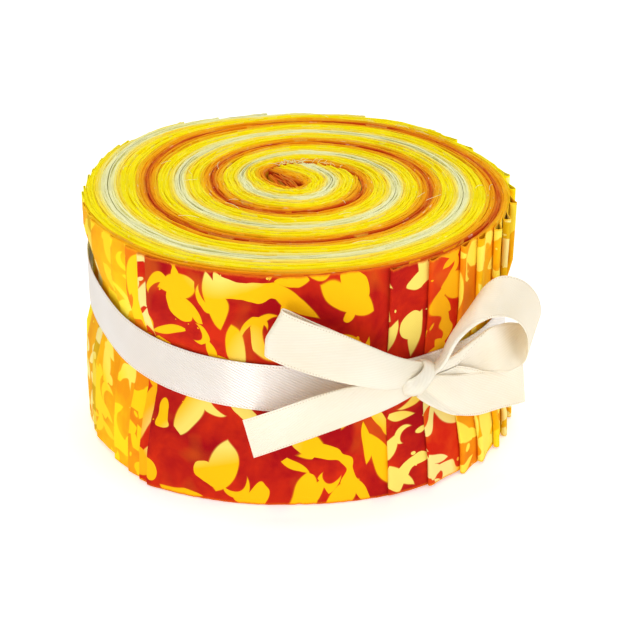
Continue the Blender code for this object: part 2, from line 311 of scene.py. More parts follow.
# Columns: away from the ribbon's middle, share of the press
PRESS_PROFILE = ((0.0, 1.0), (6.8, 1.0), (8.8, 0.74), (10.8, 0.55), (13.5, 0.21), (16.3, 0.0))


def place(winding, radius, height):
    """Points of the roll, in millimetres, for a winding angle, a distance from the spiral's centre and a height."""
    direction = direction_at(winding)
    radius = radius + push(direction, radius) + flare(direction, height, radius)
    x = SPIRAL_CENTRE[0] + np.sin(np.radians(direction)) * radius
    y = SPIRAL_CENTRE[1] - np.cos(np.radians(direction)) * radius
    free = np.hypot(x, y)
    rim = rim_radius(direction)
    away = height - band_height(direction)
    away = np.where(away > 0, away, -PRESS_BELOW_STRETCH * away)
    distances, shares = zip(*PRESS_PROFILE)
    pressed = np.interp(away, distances, shares)
    depth = (rim - PRESSED_RADIUS) * smooth((free - PRESS_STARTS_RADIUS) / (rim - PRESS_STARTS_RADIUS))
    depth = depth + np.maximum(free - rim, 0.0)
    scale = 1.0 - pressed * depth / np.maximum(free, 1.0)
    return x * scale, y * scale


print("a point under the ribbon:", [round(float(value), 1) for value in place(end_winding[1], OUTER_RADIUS, 32.0)])

# %% [markdown]
# ## One strip as a sheet of cloth
# A strip starts at the core, follows the spiral out to its own end, turns back in a round fold and returns to the
# core beside itself. Its two layers lie a quarter and three quarters into its share of the stack. Each strip is a
# closed thin sheet: columns of points across its width, on both faces. Buried columns have few points, and those that
# show at the outside have more. The folds stand a little open where nothing holds them, and lie flat under the
# ribbon.

# %% Columns of a strip
COLUMN_STEP_DEG, FINE_STEP_DEG = 5.0, 1.25
INNER_LAYER, ROUND_FOLD, OUTER_LAYER = 0, 1, 2
INNER_LAYER_AT, OUTER_LAYER_AT = 0.75, 0.25
NOT_NEAR_FOLD = -1.0
FOLD_BACK, BEFORE_FOLD = (1.3, 2.1, 3.1, 4.3, 5.6), 1.2
FOLD_ANGLES = (-90.0, -55.0, -20.0, 20.0, 55.0, 90.0)
UNDER_NEXT_FOLD, UNDER_FIRST_FOLD = 2.5, 3.0
START_CLEARANCE, FINE_CLEARANCE = 0.25, 0.3


def strip_columns(strip):
    """Winding, distance back from the fold, fold angle, layer and fineness of each column of a strip."""
    end = end_winding[strip]
    grid, fine = math.radians(COLUMN_STEP_DEG), math.radians(FINE_STEP_DEG)
    fold_zone = (FOLD_BACK[-1] + BEFORE_FOLD) / OUTER_RADIUS
    if strip < STRIP_COUNT:
        shows_from = end_winding[strip + 1] - UNDER_NEXT_FOLD / OUTER_RADIUS
    else:
        shows_from = end_winding[1] - 2 * math.pi - UNDER_FIRST_FOLD / OUTER_RADIUS
    inner_start = start_winding((strip - INNER_LAYER_AT) * STRIP_PITCH)
    outer_start = start_winding((strip - OUTER_LAYER_AT) * STRIP_PITCH)
    first = math.ceil(inner_start / grid + START_CLEARANCE)
    inner = [inner_start] + [i * grid for i in range(first, int((end - fold_zone) / grid) + 1)]
    shown = [end - fold_zone - i * fine for i in range(int(max(end - fold_zone - shows_from, 0.0) / fine) + 1)]
    last = int((shown[-1] - FINE_CLEARANCE * grid) / grid)
    first = math.ceil(outer_start / grid + START_CLEARANCE)
    hidden = [i * grid for i in range(last, first - 1, -1)] + [outer_start]
    columns = [(winding, NOT_NEAR_FOLD, 0.0, INNER_LAYER, 0) for winding in inner]
    columns += [(end, back, 0.0, INNER_LAYER, 1) for back in reversed(FOLD_BACK)]
    columns += [(end, 0.0, angle, ROUND_FOLD, 1) for angle in FOLD_ANGLES]
    columns += [(end, back, 0.0, OUTER_LAYER, 1) for back in FOLD_BACK]
    columns += [(winding, NOT_NEAR_FOLD, 0.0, OUTER_LAYER, 1) for winding in shown]
    columns += [(winding, NOT_NEAR_FOLD, 0.0, OUTER_LAYER, 0) for winding in hidden]
    return columns


print("outermost strip has", len(strip_columns(STRIP_COUNT)), "columns")

# %% Rows of a strip
PLAIN_RADIUS = 29.0
EDGE_ROW = 1.0
COARSE_ROWS = (-16.3, -10.8, -6.8, 6.8, 10.8, 16.3)
FINE_ROWS = (-16.3, -13.5, -10.8, -8.8, -6.8, 0.0, 6.8, 8.8, 10.8, 13.5, 16.3)


def column_heights(winding, radius, fine):
    if radius < PLAIN_RADIUS:
        return np.array((0.0, STRIP_WIDTH))
    middle = float(band_height(direction_at(winding)))
    if fine:
        rows = [0.0, EDGE_ROW, (middle + FINE_ROWS[0]) / 2] + [middle + row for row in FINE_ROWS]
        return np.array(rows + [STRIP_WIDTH - EDGE_ROW, STRIP_WIDTH])
    return np.array([0.0] + [middle + row for row in COARSE_ROWS] + [STRIP_WIDTH])


print("rows where a strip shows:", len(column_heights(end_winding[1], OUTER_RADIUS, 1)))

# %% Joining columns into a closed sheet
def zip_columns(left, right, left_heights, right_heights, flip):
    """Faces between two columns of points, which may have different numbers of rows."""
    faces = []
    i = j = 0
    while i < len(left) - 1 or j < len(right) - 1:
        same = len(left) == len(right)
        if same:
            face = (left[i], right[j], right[j + 1], left[i + 1])
            i += 1
            j += 1
        elif j == len(right) - 1 or (i < len(left) - 1 and left_heights[i + 1] <= right_heights[j + 1]):
            face = (left[i], right[j], left[i + 1])
            i += 1
        else:
            face = (left[i], right[j], right[j + 1])
            j += 1
        faces.append(face[::-1] if flip else face)
    return faces


def closed_sheet(columns_a, columns_b, heights):
    """Faces of a thin sheet whose two sides are lists of columns of point numbers."""
    faces = []
    for c in range(len(columns_a) - 1):
        a, b, next_a, next_b = columns_a[c], columns_b[c], columns_a[c + 1], columns_b[c + 1]
        faces += zip_columns(a, next_a, heights[c], heights[c + 1], False)
        faces += zip_columns(b, next_b, heights[c], heights[c + 1], True)
        faces.append((a[0], b[0], next_b[0], next_a[0]))
        faces.append((a[-1], next_a[-1], next_b[-1], b[-1]))
    for c, flip in ((0, False), (-1, True)):
        a, b = columns_a[c], columns_b[c]
        for i in range(len(a) - 1):
            face = (a[i], a[i + 1], b[i + 1], b[i])
            faces.append(face[::-1] if flip else face)
    return faces


three = np.arange(3)
print("a sheet of two columns of three points has",
      len(closed_sheet([three, three + 3], [three + 6, three + 9], [three, three])), "faces")

# %% A mesh of cloth
SHARP_DEG, THREAD_SHARP_DEG = 50.0, 80.0


def cloth_object(name, points, faces, cloth_places, material, sharp_deg=SHARP_DEG):
    """A mesh object in metres, with a map called cloth that holds each point's place on the flat cloth in cm."""
    mesh = bpy.data.meshes.new(name)
    mesh.from_pydata([tuple(point) for point in np.asarray(points) * MM], [], faces)
    places = mesh.uv_layers.new(name="cloth")
    corner_points = np.empty(len(mesh.loops), dtype=np.int32)
    mesh.loops.foreach_get("vertex_index", corner_points)
    places.data.foreach_set("uv", (np.asarray(cloth_places)[corner_points] / 10.0).ravel())
    mesh.shade_smooth()
    mesh.set_sharp_from_angle(angle=math.radians(sharp_deg))
    mesh.materials.append(material)
    return add_object(name, mesh)


print("creases sharper than", SHARP_DEG, "degrees are drawn sharp")

# %% How far a fold stands open
OPEN_LEFT, OPEN_RIGHT, MOST_OPEN_DIRECTION = 0.25, 0.85, 66.0
WIDE_OPEN = {2: 0.3, 3: 0.5, 4: 0.8, 5: 1.0, 6: 0.9, 7: 0.8, 8: 0.6, 9: 0.5}
HELD_UNTIL, FREE_FROM = 6.0, 23.0
LOWER_OPENING, MOST_OF_SPARE, HELD_SHARE = 0.75, 0.45, 0.93
MOST_SPARE = 6.0


def fold_opening(strip, height, spare):
    """How far apart the two layers stand at the fold, in millimetres, at each height."""
    direction = float(direction_at(end_winding[strip]))
    side = 0.5 + 0.5 * math.cos(math.radians(direction - MOST_OPEN_DIRECTION))
    most = OPEN_LEFT + (OPEN_RIGHT - OPEN_LEFT) * side ** 2 + WIDE_OPEN.get(strip, 0.0)
    middle = float(band_height(direction))
    held = 1.0 - smooth((np.abs(height - middle) - HELD_UNTIL) / (FREE_FROM - HELD_UNTIL))
    free = np.where(height > middle, 1.0, LOWER_OPENING)
    return LAYER_PITCH + min(most, spare * MOST_OF_SPARE) * free * (1.0 - HELD_SHARE * held)


print("the first fold opens to", round(float(fold_opening(1, STRIP_WIDTH, MOST_SPARE)), 2), "mm at its top")

# %% [markdown]
# ## The core
# The innermost strip starts crumpled in the middle of the roll, where the photo shows a small dark heap of folds. A
# short table gives the left and the right side of that heap. The strip goes to and fro between them in seven passes.
# There is no pale wax on the folds in the photo, so the print is moved along the cloth there.

# %% The folded start of the innermost strip
# Columns: left x, left y, right x, right y
CORE_FOLD = (
    (-3.0, -2.2, 0.3, -1.6),
    (-4.9, -0.9, 0.4, 0.3),
    (-5.9, 1.2, -0.5, 1.8),
    (-7.1, 3.6, -2.2, 3.8),
    (-8.0, 6.4, -5.0, 6.3),
)
CORE_FOLD_PASSES = (0.03, 0.15, 0.36, 0.48, 0.60, 0.72, 0.84)
CORE_FOLD_STEPS, CORE_FOLD_THICKNESS = 3, 0.36
DOME_HEIGHT, DOME_RADIUS = 0.9, 52.0
CORE_WAVE_HEIGHT, CORE_WAVE_RATE = 0.35, 0.55
CORE_PRINT_SHIFT, CORE_PRINT_REACH = 2730.0, 30.0


def core_fold(sides, index):
    """The start of the innermost strip, which lies crumpled in the core, as columns of two points on both sides."""
    first, second = (0.5 * (sides[0][i[0]][:2] + sides[1][i[0]][:2]) for i in index[:2])
    left, right = (np.array(CORE_FOLD)[:, half] for half in (slice(0, 2), slice(2, 4)))
    rows = []
    for number, share in enumerate(CORE_FOLD_PASSES):
        one_pass = [tuple(point) for point in left + (right - left) * share]
        rows += one_pass if number % 2 else one_pass[::-1]
    rows += [CORE_FOLD[-1][2:], tuple(first), tuple(second)]
    count = (len(rows) - 2) * CORE_FOLD_STEPS
    path = np.array([catmull_rom(rows, k / CORE_FOLD_STEPS) for k in range(count + 1)])
    tangent = np.gradient(path, axis=0)
    normal = np.column_stack((-tangent[:, 1], tangent[:, 0])) / np.linalg.norm(tangent, axis=1)[:, None]
    if np.dot(normal[-1], sides[0][index[0][0]][:2] - sides[1][index[0][0]][:2]) < 0:
        normal = -normal
    top = STRIP_WIDTH + DOME_HEIGHT + CORE_WAVE_HEIGHT * np.sin(np.arange(count) * CORE_WAVE_RATE)
    blocks = []
    for sign in (1.0, -1.0):
        plan = (path + sign * normal * CORE_FOLD_THICKNESS / 2)[:-1]
        foot_points = np.column_stack((plan, np.zeros(count)))
        top_points = np.column_stack((plan, top))
        blocks.append(np.stack((foot_points, top_points), axis=1).reshape(-1, 3))
    return blocks, count


print("the core's folds go through", len(CORE_FOLD) * len(CORE_FOLD_PASSES), "places")

# %% The layers near a fold
FOLD_REACH, FOLD_REACH_OF_SPARE = 5.4, 0.9


def fold_shape(back, angle, layer, opening, spare):
    """Each point's way back from the fold, its depth in the stack, and how its face points in both."""
    round_radius = opening / 2
    turn = np.radians(angle)
    along = np.where(layer == ROUND_FOLD, round_radius * (1.0 - np.cos(turn)), np.maximum(back, 0.0))
    lifted = 1.0 - smooth(along / min(FOLD_REACH, spare * FOLD_REACH_OF_SPARE))
    over = LAYER_PITCH + (opening - LAYER_PITCH) * lifted
    places = [layer == INNER_LAYER, layer == ROUND_FOLD]
    depth = np.select(places, [0.0 * opening, round_radius * (1.0 + np.sin(turn))], over)
    depth = np.where((back >= 0.0) | (layer != OUTER_LAYER), depth, LAYER_PITCH)
    into_along = np.where(layer == ROUND_FOLD, np.cos(turn), 0.0)
    into_depth = np.select(places, [1.0 + 0.0 * opening, -np.sin(turn)], -1.0)
    return along, depth, into_along, into_depth


print("a lifted layer lies flat again", FOLD_REACH, "mm back from its fold")

# %% Uneven upper and lower edges
# Columns: height, rate, shift for each strip
TOP_WAVES = ((0.22, 3.1, 1.7), (0.12, 9.7, 2.9))
COLUMN_NOISE = 0.07
MIDDLE_GROOVE = 0.9
END_RISE, END_RISE_REACH = (-0.45, 0.35), 14.0
STRIP_RISE, FOOT_RISE = (-0.2, 0.2), (-0.25, 0.7)


def edge_shifts(strip, column_count, owner, winding, layer, rng):
    """How far a strip's upper and lower edges are out of level at each point, in millimetres."""
    top_wave = sum(size * np.sin(winding * rate + strip * shift) for size, rate, shift in TOP_WAVES)
    column_noise = rng.normal(0.0, COLUMN_NOISE, column_count)[owner]
    near_end = smooth(1.0 - (end_winding[strip] - winding) * OUTER_RADIUS / END_RISE_REACH)
    top_shift = top_wave + column_noise + rng.uniform(*END_RISE) * near_end + rng.uniform(*STRIP_RISE)
    if strip == STRIP_COUNT // 2:
        top_shift = top_shift - MIDDLE_GROOVE * (layer == OUTER_LAYER)
    return top_shift, max(0.0, rng.uniform(*FOOT_RISE)) + np.abs(column_noise)


print("the upper edges wave by", round(sum(size for size, _, _ in TOP_WAVES), 2), "mm at most")

# %% Points of one strip
CUT_EDGE_FROM, CUT_EDGE_HALF, PLAIN_HALF = 0.1, 0.62, 0.5
TOP_RISE_FROM, FOOT_RISE_UNTIL = 40.0, 13.0
RANDOM_SEED = 11


def strip_points(strip, rng):
    """Points, faces and places on the flat cloth of one strip, and the length of its way."""
    columns = strip_columns(strip)
    inner_offset = (strip - INNER_LAYER_AT) * STRIP_PITCH
    spare = MOST_SPARE
    if strip < STRIP_COUNT:
        spare = min(spare, (end_winding[strip] - end_winding[strip + 1]) * OUTER_RADIUS)
    heights = [column_heights(row[0], float(layer_radius(row[0], inner_offset)), row[-1]) for row in columns]
    starts = np.cumsum([0] + [len(rows) for rows in heights])
    index = [np.arange(low, high) for low, high in zip(starts[:-1], starts[1:])]
    owner = np.concatenate([np.full(len(rows), c) for c, rows in enumerate(heights)])
    z = np.concatenate(heights)
    winding, back, angle, layer = (np.array(columns)[owner, i] for i in range(4))
    along, depth, into_along, into_depth = fold_shape(back, angle, layer, fold_opening(strip, z, spare), spare)
    half = np.where(z > STRIP_WIDTH - CUT_EDGE_FROM, CUT_EDGE_HALF, PLAIN_HALF) * CLOTH_THICKNESS
    top_shift, foot_shift = edge_shifts(strip, len(columns), owner, winding, layer, rng)
    sides = []
    for sign in (1.0, -1.0):
        out_winding = winding - (along + sign * half * into_along) / OUTER_RADIUS
        radius = layer_radius(out_winding, inner_offset + depth + sign * half * into_depth)
        x, y = place(out_winding, radius, z)
        dome = DOME_HEIGHT * (1.0 - smooth(radius / DOME_RADIUS))
        top_rise = (top_shift + dome) * smooth((z - TOP_RISE_FROM) / (STRIP_WIDTH - TOP_RISE_FROM))
        rise = z + top_rise + foot_shift * (1.0 - smooth(z / FOOT_RISE_UNTIL))
        sides.append(np.column_stack((x, y, np.maximum(rise, 0.0))))
    if strip == 1:
        blocks, extra = core_fold(sides, index)
        sides = [np.vstack((block, side)) for block, side in zip(blocks, sides)]
        index = [np.arange(2) + 2 * k for k in range(extra)] + [i + 2 * extra for i in index]
        heights = [np.array((0.0, STRIP_WIDTH))] * extra + heights
        owner = np.concatenate((np.repeat(np.arange(extra), 2), owner + extra))
        z = np.concatenate((np.tile((0.0, STRIP_WIDTH), extra), z))
    middle_line = np.array([(sides[0][i[0]] + sides[1][i[0]]) / 2 for i in index])
    run = np.concatenate(([0.0], np.cumsum(np.linalg.norm(np.diff(middle_line, axis=0)[:, :2], axis=1))))
    flat = np.column_stack((run[owner], z))
    if strip == 1:
        from_ends = np.minimum(run, run[-1] - run)[owner]
        flat[:, 0] += CORE_PRINT_SHIFT * (from_ends < run[extra] + CORE_PRINT_REACH)
    index_b = [i + len(z) for i in index]
    return np.vstack(sides), closed_sheet(index, index_b, heights), np.vstack((flat, flat)), run[-1]


rng = np.random.default_rng(RANDOM_SEED)
_, test_faces, _, test_run = strip_points(STRIP_COUNT, rng)
print("outermost strip:", len(test_faces), "faces, way", round(test_run), "mm")

# %% [markdown]
# ## Colours and nodes
# Colours are read as sRGB hex, as a colour picker shows them, and one function turns them to the linear values that
# the shader works in. One small function adds a node, sets it up and links what it is given, and another starts a
# material with what is the same all over it.

# %% Helpers for materials
FULL_TURN = 6.283
MIX_COLOURS = {"out": 2, "data_type": "RGBA"}


def linear(hex_colour):
    values = [int(hex_colour[i:i + 2], 16) / 255 for i in (1, 3, 5)]
    values = [v / 12.92 if v <= 0.04045 else ((v + 0.055) / 1.055) ** 2.4 for v in values]
    return (*values, 1.0)


def add(tree, kind, inputs=None, out=0, **settings):
    """Adds a node, sets its properties, links or sets its inputs, and gives one of its outputs."""
    node = tree.nodes.new("ShaderNode" + kind)
    for key, value in settings.items():
        setattr(node, key, value)
    for key, value in (inputs or {}).items():
        if isinstance(value, bpy.types.NodeSocket):
            tree.links.new(value, node.inputs[key])
        else:
            node.inputs[key].default_value = value
    return node.outputs[out]


def new_material(name, surface):
    """A material with its shader's own sockets set, and its node tree and shader."""
    material = bpy.data.materials.new(name)
    material.use_nodes = True
    shader = material.node_tree.nodes["Principled BSDF"]
    for socket, value in surface.items():
        shader.inputs[socket].default_value = value
    return material, material.node_tree, shader


print("middle grey is", round(linear("#808080")[0], 3), "in linear light")

# %% [markdown]
# ## Wax shapes of the batik
# Batik is painted with hot wax and dyed, so its shapes have crisp but uneven edges, a thin halo where dye crept
# under the wax, and a mottled ground. The wax shapes come in three layers: large leaves and crescents, smaller
# leaves, and loose blobs from a smooth noise. A slow noise bends them all, so that none is alike. Each shape is
# worked out as a distance to its edge, below 0 inside, because distances are easy to join and to give a halo.

# %% Leaves and crescents
LEAF_RANDOMNESS, SEED_SLANT = 0.8, 1.7
DISC_SHIFT, DISC_RADIUS = (0.0, 0.06, 0.0), 0.36
BITE_SHIFT, BITE_RADIUS = (0.05, -0.16, 0.0), 0.34
CRESCENTS_ABOVE = 0.66


def disc_distance(tree, place_on_leaf, shift):
    moved = add(tree, "VectorMath", {0: place_on_leaf, 1: shift}, operation="ADD")
    return add(tree, "VectorMath", {0: moved}, out=1, operation="LENGTH")


def leaf_mask(tree, cloth, cell, seed, cover, length, width):
    """Distance to leaves and crescents, below 0 inside. cell is in cm, and the other sizes are shares of a cell."""
    shift = (seed, seed * SEED_SLANT, 0.0)
    spot = add(tree, "Mapping", {"Vector": cloth, "Scale": (1 / cell, 1 / cell, 1.0), "Location": shift})
    cells = {"Vector": spot, "Scale": 1.0, "Randomness": LEAF_RANDOMNESS}
    cells = add(tree, "TexVoronoi", cells, voronoi_dimensions="2D").node
    local = add(tree, "VectorMath", {0: spot, 1: cells.outputs["Position"]}, operation="SUBTRACT")
    chance = add(tree, "SeparateColor", {0: cells.outputs["Color"]}).node
    angle = add(tree, "Math", {0: chance.outputs[0], 1: FULL_TURN}, operation="MULTIPLY")
    turned = add(tree, "VectorRotate", {"Vector": local, "Angle": angle}, rotation_type="Z_AXIS")
    xyz = add(tree, "SeparateXYZ", {0: turned}).node
    flat_y = add(tree, "Math", {0: xyz.outputs[1]}, operation="ABSOLUTE")
    arc = (length ** 2 + width ** 2) / (2 * width)
    low = add(tree, "Math", {0: flat_y, 1: arc - width}, operation="ADD")
    leaf = add(tree, "CombineXYZ", {0: xyz.outputs[0], 1: low})
    leaf = add(tree, "VectorMath", {0: leaf}, out=1, operation="LENGTH")
    leaf = add(tree, "Math", {0: leaf, 1: arc}, operation="SUBTRACT")
    disc = add(tree, "Math", {0: disc_distance(tree, turned, DISC_SHIFT), 1: DISC_RADIUS}, operation="SUBTRACT")
    bite = add(tree, "Math", {0: BITE_RADIUS, 1: disc_distance(tree, turned, BITE_SHIFT)}, operation="SUBTRACT")
    crescent = add(tree, "Math", {0: disc, 1: bite}, operation="MAXIMUM")
    is_crescent = add(tree, "Math", {0: chance.outputs[1], 1: CRESCENTS_ABOVE}, operation="GREATER_THAN")
    shape = add(tree, "Mix", {"Factor": is_crescent, "A": leaf, "B": crescent}, data_type="FLOAT")
    missing = add(tree, "Math", {0: chance.outputs[2], 1: cover}, operation="GREATER_THAN")
    return add(tree, "Math", {0: shape, 1: missing}, operation="ADD")


print("crescents in", round(100 * (1 - CRESCENTS_ABOVE)), "of 100 cells")

# %% Stems and drops
NOISE_TO_DISTANCE = 3.5
STEM_NOISE = {"Scale": 0.55, "Detail": 1.0, "Roughness": 0.4}
DROP_CELLS, DROP_RANGE = {"Scale": 2.6, "Randomness": 0.9}, {1: 0.86, 2: 1.0, 3: -0.02, 4: 0.16}


def stem_distance(tree, moved, wide):
    """Distance to the winding line where a noise crosses its middle level, below 0 on the line."""
    level = add(tree, "TexNoise", {"Vector": moved, **STEM_NOISE}, noise_dimensions="2D")
    level = add(tree, "Math", {0: level, 1: 0.5}, operation="SUBTRACT")
    level = add(tree, "Math", {0: level}, operation="ABSOLUTE")
    return add(tree, "Math", {0: level, 1: NOISE_TO_DISTANCE, 2: -wide * NOISE_TO_DISTANCE}, operation="MULTIPLY_ADD")


def drop_distance(tree, moved):
    """Distance to small round drops, which few cells have."""
    drop = add(tree, "TexVoronoi", {"Vector": moved, **DROP_CELLS}, voronoi_dimensions="2D").node
    rare = add(tree, "SeparateColor", {0: drop.outputs["Color"]}, out=1)
    rare = add(tree, "MapRange", {0: rare, **DROP_RANGE})
    return add(tree, "Math", {0: drop.outputs["Distance"], 1: rare}, operation="SUBTRACT")


print("noise level to distance:", NOISE_TO_DISTANCE)

# %% All wax shapes of one cloth
# Columns: share of a cell, seed shift, share of the cover, length, width
LEAVES = ((1.0, 0.0, 1.0, 0.5, 0.21), (0.68, 3.3, 0.62, 0.52, 0.15))
SEED_MOVES = (3.1, 7.7)
BEND_NOISE = {"Scale": 0.5, "Detail": 1.0, "Roughness": 0.3}
BLOB_NOISE, BLOBS_PER_CELL = {"Detail": 1.5, "Roughness": 0.3}, 1.3


def lowest(tree, first, *others):
    """The union of shapes that are given as distances."""
    for other in others:
        first = add(tree, "Math", {0: first, 1: other}, operation="MINIMUM")
    return first


def wax_distance(tree, cloth, cell, cover, blobs, stems, seed):
    """Distance to all wax shapes, and the bent and the moved places on the cloth, which the dye's noises use too."""
    bend = add(tree, "TexNoise", {"Vector": cloth, **BEND_NOISE}, out=1, noise_dimensions="2D")
    bend = add(tree, "VectorMath", {0: bend, 1: (0.5, 0.5, 0.5)}, operation="SUBTRACT")
    bent = add(tree, "VectorMath", {0: cloth, 1: bend}, operation="ADD")
    moves = (seed * SEED_MOVES[0], seed * SEED_MOVES[1], 0.0)
    moved = add(tree, "VectorMath", {0: bent, 1: moves}, operation="ADD")
    leaves = [leaf_mask(tree, bent, cell * size, seed + shift, cover * share, length, width)
              for size, shift, share, length, width in LEAVES]
    blob = {"Vector": moved, "Scale": BLOBS_PER_CELL / cell, **BLOB_NOISE}
    blob = add(tree, "TexNoise", blob, noise_dimensions="2D")
    blob = {0: blob, 1: -NOISE_TO_DISTANCE, 2: (1.0 - blobs) * NOISE_TO_DISTANCE}
    blob = add(tree, "Math", blob, operation="MULTIPLY_ADD")
    shape = lowest(tree, *leaves, blob)
    if stems:
        shape = lowest(tree, shape, stem_distance(tree, moved, stems))
    return lowest(tree, shape, drop_distance(tree, moved)), bent, moved


print("layers of leaves:", len(LEAVES))

# %% [markdown]
# ## Dye, cut edges with painted light, and weave
# The dye's ground is mottled between two tones and thinner in some places. The wax is white cloth or cloth that took
# a first, paler dye. Where a strip was cut, the threads are frayed and show the mean of both sides of the cloth. This
# edge colour also reaches down the layers' sides, as painted light over the shade in the gaps between them.
# Batik cloth is a fine plain weave of about 44 threads to the centimetre. Its warp and weft change places at every
# thread, so its relief repeats after two of them, every 0.45 mm.

# %% Colours of the dye
WAX_EDGE, HALO_EDGE, HALO_SHARE = 0.008, 0.022, 0.3
PALE_UNTIL_CM, RICH_FROM_CM, PALE_SHIFT, RICH_SHIFT = 80.0, 240.0, 0.10, -0.06
MOTTLE_NOISE, MOTTLE_RANGE = {"Scale": 0.55, "Detail": 4.0, "Roughness": 0.6}, {1: 0.36, 2: 0.64, 3: 0.0, 4: 1.0}
BLOTCH_NOISE, BLOTCH_RANGE = {"Scale": 0.2, "Detail": 1.0, "Roughness": 0.4}, {1: 0.47, 2: 0.53, 3: 0.0, 4: 1.0}
THIN_NOISE, THIN_RANGE = {"Scale": 0.62, "Detail": 2.0, "Roughness": 0.5}, {1: 0.58, 2: 0.72, 3: 0.0, 4: 0.4}


def dye_colour(tree, along, shape, bent, moved, ground, ground_deep, wax, wax_pale, thin_dye):
    """The colour of the dyed cloth: the mottled ground, the halo and the wax shapes."""
    mottle = add(tree, "TexNoise", {"Vector": moved, **MOTTLE_NOISE}, noise_dimensions="2D")
    mottle = add(tree, "MapRange", {0: mottle, **MOTTLE_RANGE})
    colour = add(tree, "Mix", {"Factor": mottle, "A": linear(ground), "B": linear(ground_deep)}, **MIX_COLOURS)
    thin = add(tree, "TexNoise", {"Vector": bent, **THIN_NOISE}, noise_dimensions="2D")
    thin = add(tree, "MapRange", {0: thin, **THIN_RANGE})
    colour = add(tree, "Mix", {"Factor": thin, "A": colour, "B": linear(thin_dye)}, **MIX_COLOURS)
    bolt_place = {0: along, 1: PALE_UNTIL_CM, 2: RICH_FROM_CM, 3: PALE_SHIFT, 4: RICH_SHIFT}
    bolt_place = add(tree, "MapRange", bolt_place)
    blotch = add(tree, "TexNoise", {"Vector": moved, **BLOTCH_NOISE}, noise_dimensions="2D")
    blotch = add(tree, "Math", {0: blotch, 1: bolt_place}, operation="ADD")
    blotch = add(tree, "MapRange", {0: blotch, **BLOTCH_RANGE})
    wax_colour = add(tree, "Mix", {"Factor": blotch, "A": linear(wax), "B": linear(wax_pale)}, **MIX_COLOURS)
    halo = add(tree, "MapRange", {0: shape, 1: HALO_EDGE, 2: 0.0, 3: 0.0, 4: HALO_SHARE})
    colour = add(tree, "Mix", {"Factor": halo, "A": colour, "B": wax_colour}, **MIX_COLOURS)
    inside = add(tree, "MapRange", {0: shape, 1: WAX_EDGE, 2: -WAX_EDGE, 3: 0.0, 4: 1.0})
    return add(tree, "Mix", {"Factor": inside, "A": colour, "B": wax_colour}, **MIX_COLOURS)


print("the halo is", round(HALO_EDGE - WAX_EDGE, 3), "of a cell wide")

# %% Frayed cut edges, with painted light between the layers
# The frayed edge's colour is partly painted light: it reaches down the layers' sides and lightens the shade between
# them.
CUT_EDGE_AND_GAP_LIGHT_CM, FRAY_CM, CUT_EDGE_AND_GAP_LIGHT_SHARE = 0.07, 0.04, 0.92
HALF_STRIP_CM = STRIP_WIDTH / 20
FRAY_NOISE = {"Scale": 14.0, "Detail": 2.0, "Roughness": 0.5}
PALE_THREADS = "#FFF8DC"
PALE_NOISE, PALE_RANGE = {"Scale": 1.1, "Detail": 3.0, "Roughness": 0.7}, {1: 0.64, 2: 0.72, 3: 0.0, 4: 0.5}


def cut_edges_and_gap_light(tree, cloth, across, colour, cut_edge_and_gap_light):
    """The colour with the frayed edges, also painted light over the shade between layers, and with the pale threads
    that stand out of them here and there.
    """
    from_middle = add(tree, "Math", {0: across, 1: HALF_STRIP_CM}, operation="SUBTRACT")
    from_middle = add(tree, "Math", {0: from_middle}, operation="ABSOLUTE")
    fray = add(tree, "TexNoise", {"Vector": cloth, **FRAY_NOISE}, noise_dimensions="2D")
    reach = add(tree, "Math", {0: fray, 1: FRAY_CM, 2: from_middle}, operation="MULTIPLY_ADD")
    near_cut = {1: HALF_STRIP_CM + FRAY_CM / 2 - CUT_EDGE_AND_GAP_LIGHT_CM, 2: HALF_STRIP_CM + FRAY_CM / 2}
    # Mask of the cut edge's colour, which is also painted light over the shade on the layers' sides.
    edge = add(tree, "MapRange", {0: reach, **near_cut, 3: 0.0, 4: CUT_EDGE_AND_GAP_LIGHT_SHARE})
    colour = add(tree, "Mix", {"Factor": edge, "A": colour, "B": linear(cut_edge_and_gap_light)}, **MIX_COLOURS)
    pale = add(tree, "TexNoise", {"Vector": cloth, **PALE_NOISE}, noise_dimensions="2D")
    pale = add(tree, "MapRange", {0: pale, **PALE_RANGE})
    pale = add(tree, "Math", {0: pale, 1: edge}, operation="MULTIPLY")
    return add(tree, "Mix", {"Factor": pale, "A": colour, "B": linear(PALE_THREADS)}, **MIX_COLOURS)


print("the frayed edge is about", round(CUT_EDGE_AND_GAP_LIGHT_CM * 10, 2), "mm wide")

# %% The dyed cotton itself
WEAVE_REPEAT_CM = 0.045
SLUB_NOISE, SLUB_SHARE = {"Scale": 2.2, "Detail": 5.0, "Roughness": 0.5}, 3.0
WEAVE_STRENGTH, WEAVE_RELIEF_M = 0.25, 0.0001
COTTON_SURFACE = {"Roughness": 0.85, "IOR": 1.47, "Specular IOR Level": 0.12}


def plain_weave(tree, cloth, along, across):
    """Relief of warp and weft that cross at right angles, with thicker stretches of thread."""
    waves = []
    for place_on_cloth in (along, across):
        wave = add(tree, "Math", {0: place_on_cloth, 1: FULL_TURN / WEAVE_REPEAT_CM}, operation="MULTIPLY")
        waves.append(add(tree, "Math", {0: wave}, operation="SINE"))
    weave = add(tree, "Math", {0: waves[0], 1: waves[1]}, operation="MULTIPLY")
    slub = add(tree, "TexNoise", {"Vector": cloth, **SLUB_NOISE}, noise_dimensions="2D")
    relief = add(tree, "Math", {0: slub, 1: SLUB_SHARE, 2: weave}, operation="MULTIPLY_ADD")
    return add(tree, "Bump", {"Height": relief, "Strength": WEAVE_STRENGTH, "Distance": WEAVE_RELIEF_M})


